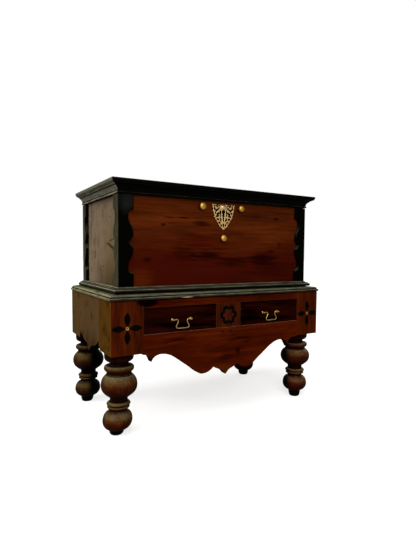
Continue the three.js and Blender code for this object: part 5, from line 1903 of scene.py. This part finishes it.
@dataclass
class Lid:
    """The lid: a thin board with a moulded nose on a mitred rim moulding."""

    rim_reach: float = 27.0
    rim_width: float = 36.0
    nose_reach: float = 38.5

    def build(self) -> None:
        """Builds the rim and the board, and dresses what is behind them."""
        left, y = Place.of("corner_mount_front_left").low[:2]
        back = Place.of("corner_mount_back_left").high[1]
        front = Place.of("lid_moulding_front")
        points, tone = drawn(RIM_PROFILE, self.rim_reach, front.size[2])
        mitred_runs("rim_moulding", "lid_moulding",
                    closed_back(points, tone, -self.rim_width, front.low[2]), "lid",
                    (LID_EBONY, LID_SIDE_EBONY), (-left - MITRE_GAP, y), back)
        self.board(-left, y, back)
        dress(INSIDE_JACKWOOD, "lid_back_rail")
        dress(FORGED_IRON, "lid_staple", "hinge_fixed_leaf_left", "hinge_fixed_leaf_right",
              "hinge_lid_leaf_left", "hinge_lid_leaf_right")

    def board(self, x: float, y: float, back: float) -> None:
        """The lid's board: each level of its edge profile is a rectangle with that reach at the
        front and the ends, flush at the back.

        Args:
            x: where the coffer's right end lies.
            y: where its front lies.
            back: where its back lies.
        """
        place = Place.of("lid_board")
        points, tone = drawn(LID_EDGE, self.nose_reach, place.size[2])
        reach, level, tone = points[1:, 0], points[1:, 1] + place.low[2], tone[1:]
        corners = [np.stack(np.broadcast_arrays(end * (x + reach), y_there, level), axis=1)
                   for end, y_there in ((-1, back), (-1, y - reach), (1, y - reach), (1, back))]
        fit("lid_board_moulded", grid(np.stack(corners, axis=1), tone=tone[:, None]), LID_EBONY,
            "lid", "lid_board", crease=CREASE_MOULDING)


@dataclass
class Drawer:
    """One drawer with its swan-neck handle."""

    side: Side
    easing: float = 1.0
    span: float = 93.0
    drop: float = 39.0
    wire: float = 2.3
    wire_thin: float = 0.82
    wire_swell: float = 0.3
    swell_share: float = 0.16
    wire_points: int = 120
    standoff: float = 11.0
    ball_radius: float = 4.6
    neck_angle: float = 0.58
    shank_radius: float = 2.8
    nut_radius: float = 6.5
    nut_height: float = 5.0

    def build(self) -> None:
        """Builds the front and the handle, and dresses the box."""
        word = self.side.word
        node = f"drawer_front_{word}"
        place = Place.of(node)
        fit(f"eased_{node}", eased_block(place.low, place.high, self.easing), DRAWER_ROSEWOOD,
            f"{word}_drawer", node)
        dress(INSIDE_DEEP, f"drawer_carcass_{word}", f"drawer_bottom_{word}")
        x, y = Place.of(f"bail_{word}").centre[:2]
        level = Place.of(f"handle_post_{word}_left").centre[2]
        self.bail(x, y, level)
        for end in Side:
            self.post(end, (x + end.value * self.span / 2, place.low[1], level))

    def bail(self, x: float, y: float, z: float) -> None:
        """The bail: a round bar along a swan-neck path, thicker at the middle of its foot. The
        radius swells by a bell curve of the share along the bar.

        Args:
            x: the middle between the handle posts.
            y: the axis on which the bail swings.
            z: its height.
        """
        half = self.span / 2
        right = [(across * half, down * self.drop) for across, down in BAIL_PATH]
        tip = (half + self.ball_radius, 0.0)
        knots = [(-tip[0], 0.0), *[(-a, d) for a, d in right], *right[::-1], tip]
        path = smooth_path(knots, self.wire_points)
        share = np.linspace(-1, 1, len(path))
        bell = np.exp(-((share / self.swell_share) ** 2))
        bar = flat_tube(path, self.wire * (self.wire_thin + self.wire_swell * bell))
        word = self.side.word
        fit(f"swan_neck_bail_{word}", bar.moved(x, y, z), BAIL_BRASS, f"{word}_bail",
            f"bail_{word}")

    def post(self, end: Side, at: Triple) -> None:
        """A handle post: rose, neck and ball, turned on one axis, with its shank and nut.

        Args:
            end: the handle's end that it holds.
            at: where its axis meets the drawer's face.
        """
        node = f"handle_post_{self.side.word}_{end.word}"
        inside = at[1] - Place.of(node).high[1]
        nut_top = inside + self.nut_height
        shank = [[0.0, inside], [self.nut_radius, inside], [self.nut_radius, nut_top],
                 [self.shank_radius, nut_top], [self.shank_radius, POST_NECK[0][1]]]
        angle = np.linspace(self.neck_angle, math.pi, 14)
        ball = self.ball_radius * np.stack([np.sin(angle), -np.cos(angle)], axis=1)
        ball[-1, 0] = 0.0
        profile = np.vstack([shank, POST_NECK, ball + (0.0, self.standoff)])
        fit(f"turned_{node}", turned(profile, 32).turned_to(FACING_FRONT, at), POST_BRASS,
            f"{self.side.word}_drawer", node)


@dataclass(frozen=True)
class Lamp:
    """A square soft light: where it stands, what it looks at, its side and its power."""

    name: str
    at: Triple
    aim: Triple
    size: float
    power: float


@dataclass(frozen=True)
class Studio:
    """Camera at the photograph's viewing angle, pale floor and soft light, in metres."""

    position: Triple = (-1.151, -2.0536, 0.8104)
    yaw: float = 30.918
    pitch: float = -3.186
    roll: float = 0.446
    lens: float = 27.617
    sensor: float = 36.0
    floor_half: float = 40.0
    world_light: float = 0.2
    sky_from: Triple = (-0.42, -0.22, 0.88)
    sky_strength: float = 3.6
    sky_spread: float = 55.0
    lamps: tuple[Lamp, ...] = (
        Lamp("key_left", (-3.6, 0.9, 2.2), (-0.3, 0.0, 0.7), 2.2, 80.0),
        Lamp("front_fill", (-1.6, -4.0, 2.6), (0.0, 0.0, 0.6), 1.8, 130.0),
        Lamp("right_fill", (4.0, 1.2, 2.2), (0.3, 0.0, 0.6), 2.0, 35.0),
    )

    def build(self) -> None:
        """Sets up the camera, the floor, the world and the lights."""
        self.camera()
        self.floor()
        self.world()
        self.sky()
        for lamp in self.lamps:
            self.light(lamp)

    def camera(self) -> None:
        """A camera turned by yaw, pitch and roll, whose long side is the picture's height."""
        yaw, pitch, roll = (math.radians(a) for a in (self.yaw, self.pitch, self.roll))
        ahead = Vector((math.sin(yaw) * math.cos(pitch), math.cos(yaw) * math.cos(pitch),
                        math.sin(pitch)))
        right = Vector((math.cos(yaw), -math.sin(yaw), 0.0))
        up = right.cross(ahead)
        level = math.cos(roll) * right + math.sin(roll) * up
        upright = math.cos(roll) * up - math.sin(roll) * right
        data = bpy.data.cameras.new("photograph")
        data.lens, data.sensor_width = self.lens, self.sensor
        camera = placed("photograph", data)
        camera.matrix_world = (Matrix.Translation(self.position)
                               @ Matrix((level, upright, -ahead)).transposed().to_4x4())
        bpy.context.scene.camera = camera

    def floor(self) -> None:
        """A wide pale floor."""
        half = self.floor_half
        mesh = bpy.data.meshes.new("floor")
        mesh.from_pydata([(-half, -half, 0), (half, -half, 0), (half, half, 0), (-half, half, 0)],
                         [], [(0, 1, 2, 3)])
        mesh.materials.append(made(FLOOR))
        placed("floor", mesh)

    def world(self) -> None:
        """White to the camera, and a dimmer grey as light, so the black wood stays black."""
        world = bpy.data.worlds.new("studio")
        world.use_nodes = True
        world.node_tree.nodes.clear()
        tree = Tree(world.node_tree)
        seen = tree.add("LightPath", out="Is Camera Ray")
        strength = tree.add("MapRange", {"Value": seen}, span=(0.0, 1.0, self.world_light, 1.0))
        light = tree.add("Background", {"Color": "#ffffff", "Strength": strength})
        tree.add("OutputWorld", {"Surface": light})
        bpy.context.scene.world = world
        bpy.context.scene.view_settings.view_transform = "Standard"

    def sky(self) -> None:
        """A wide soft light from far away, so that the floor is as bright far off as near."""
        data = bpy.data.lights.new("sky", "SUN")
        data.energy, data.angle = self.sky_strength, math.radians(self.sky_spread)
        sky = placed("sky", data)
        sky.rotation_euler = Vector(self.sky_from).to_track_quat("Z", "Y").to_euler()

    @staticmethod
    def light(lamp: Lamp) -> None:
        """Hangs one of the soft lights.

        Args:
            lamp: the light.
        """
        data = bpy.data.lights.new(lamp.name, "AREA")
        data.size, data.energy = lamp.size, lamp.power
        light = placed(lamp.name, data)
        light.location = lamp.at
        way = Vector(lamp.aim) - Vector(lamp.at)
        light.rotation_euler = way.to_track_quat("-Z", "Y").to_euler()


def main() -> None:
    """Builds the chest around the frame and keeps both sizes."""
    logging.basicConfig(level=logging.INFO, format="%(name)s %(message)s")
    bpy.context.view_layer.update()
    Studio().build()
    Legs().build()
    Stand().build()
    Coffer().build()
    Lock().build()
    Lid().build()
    for side in Side:
        Drawer(side).build()


if __name__ == "__main__":
    main()
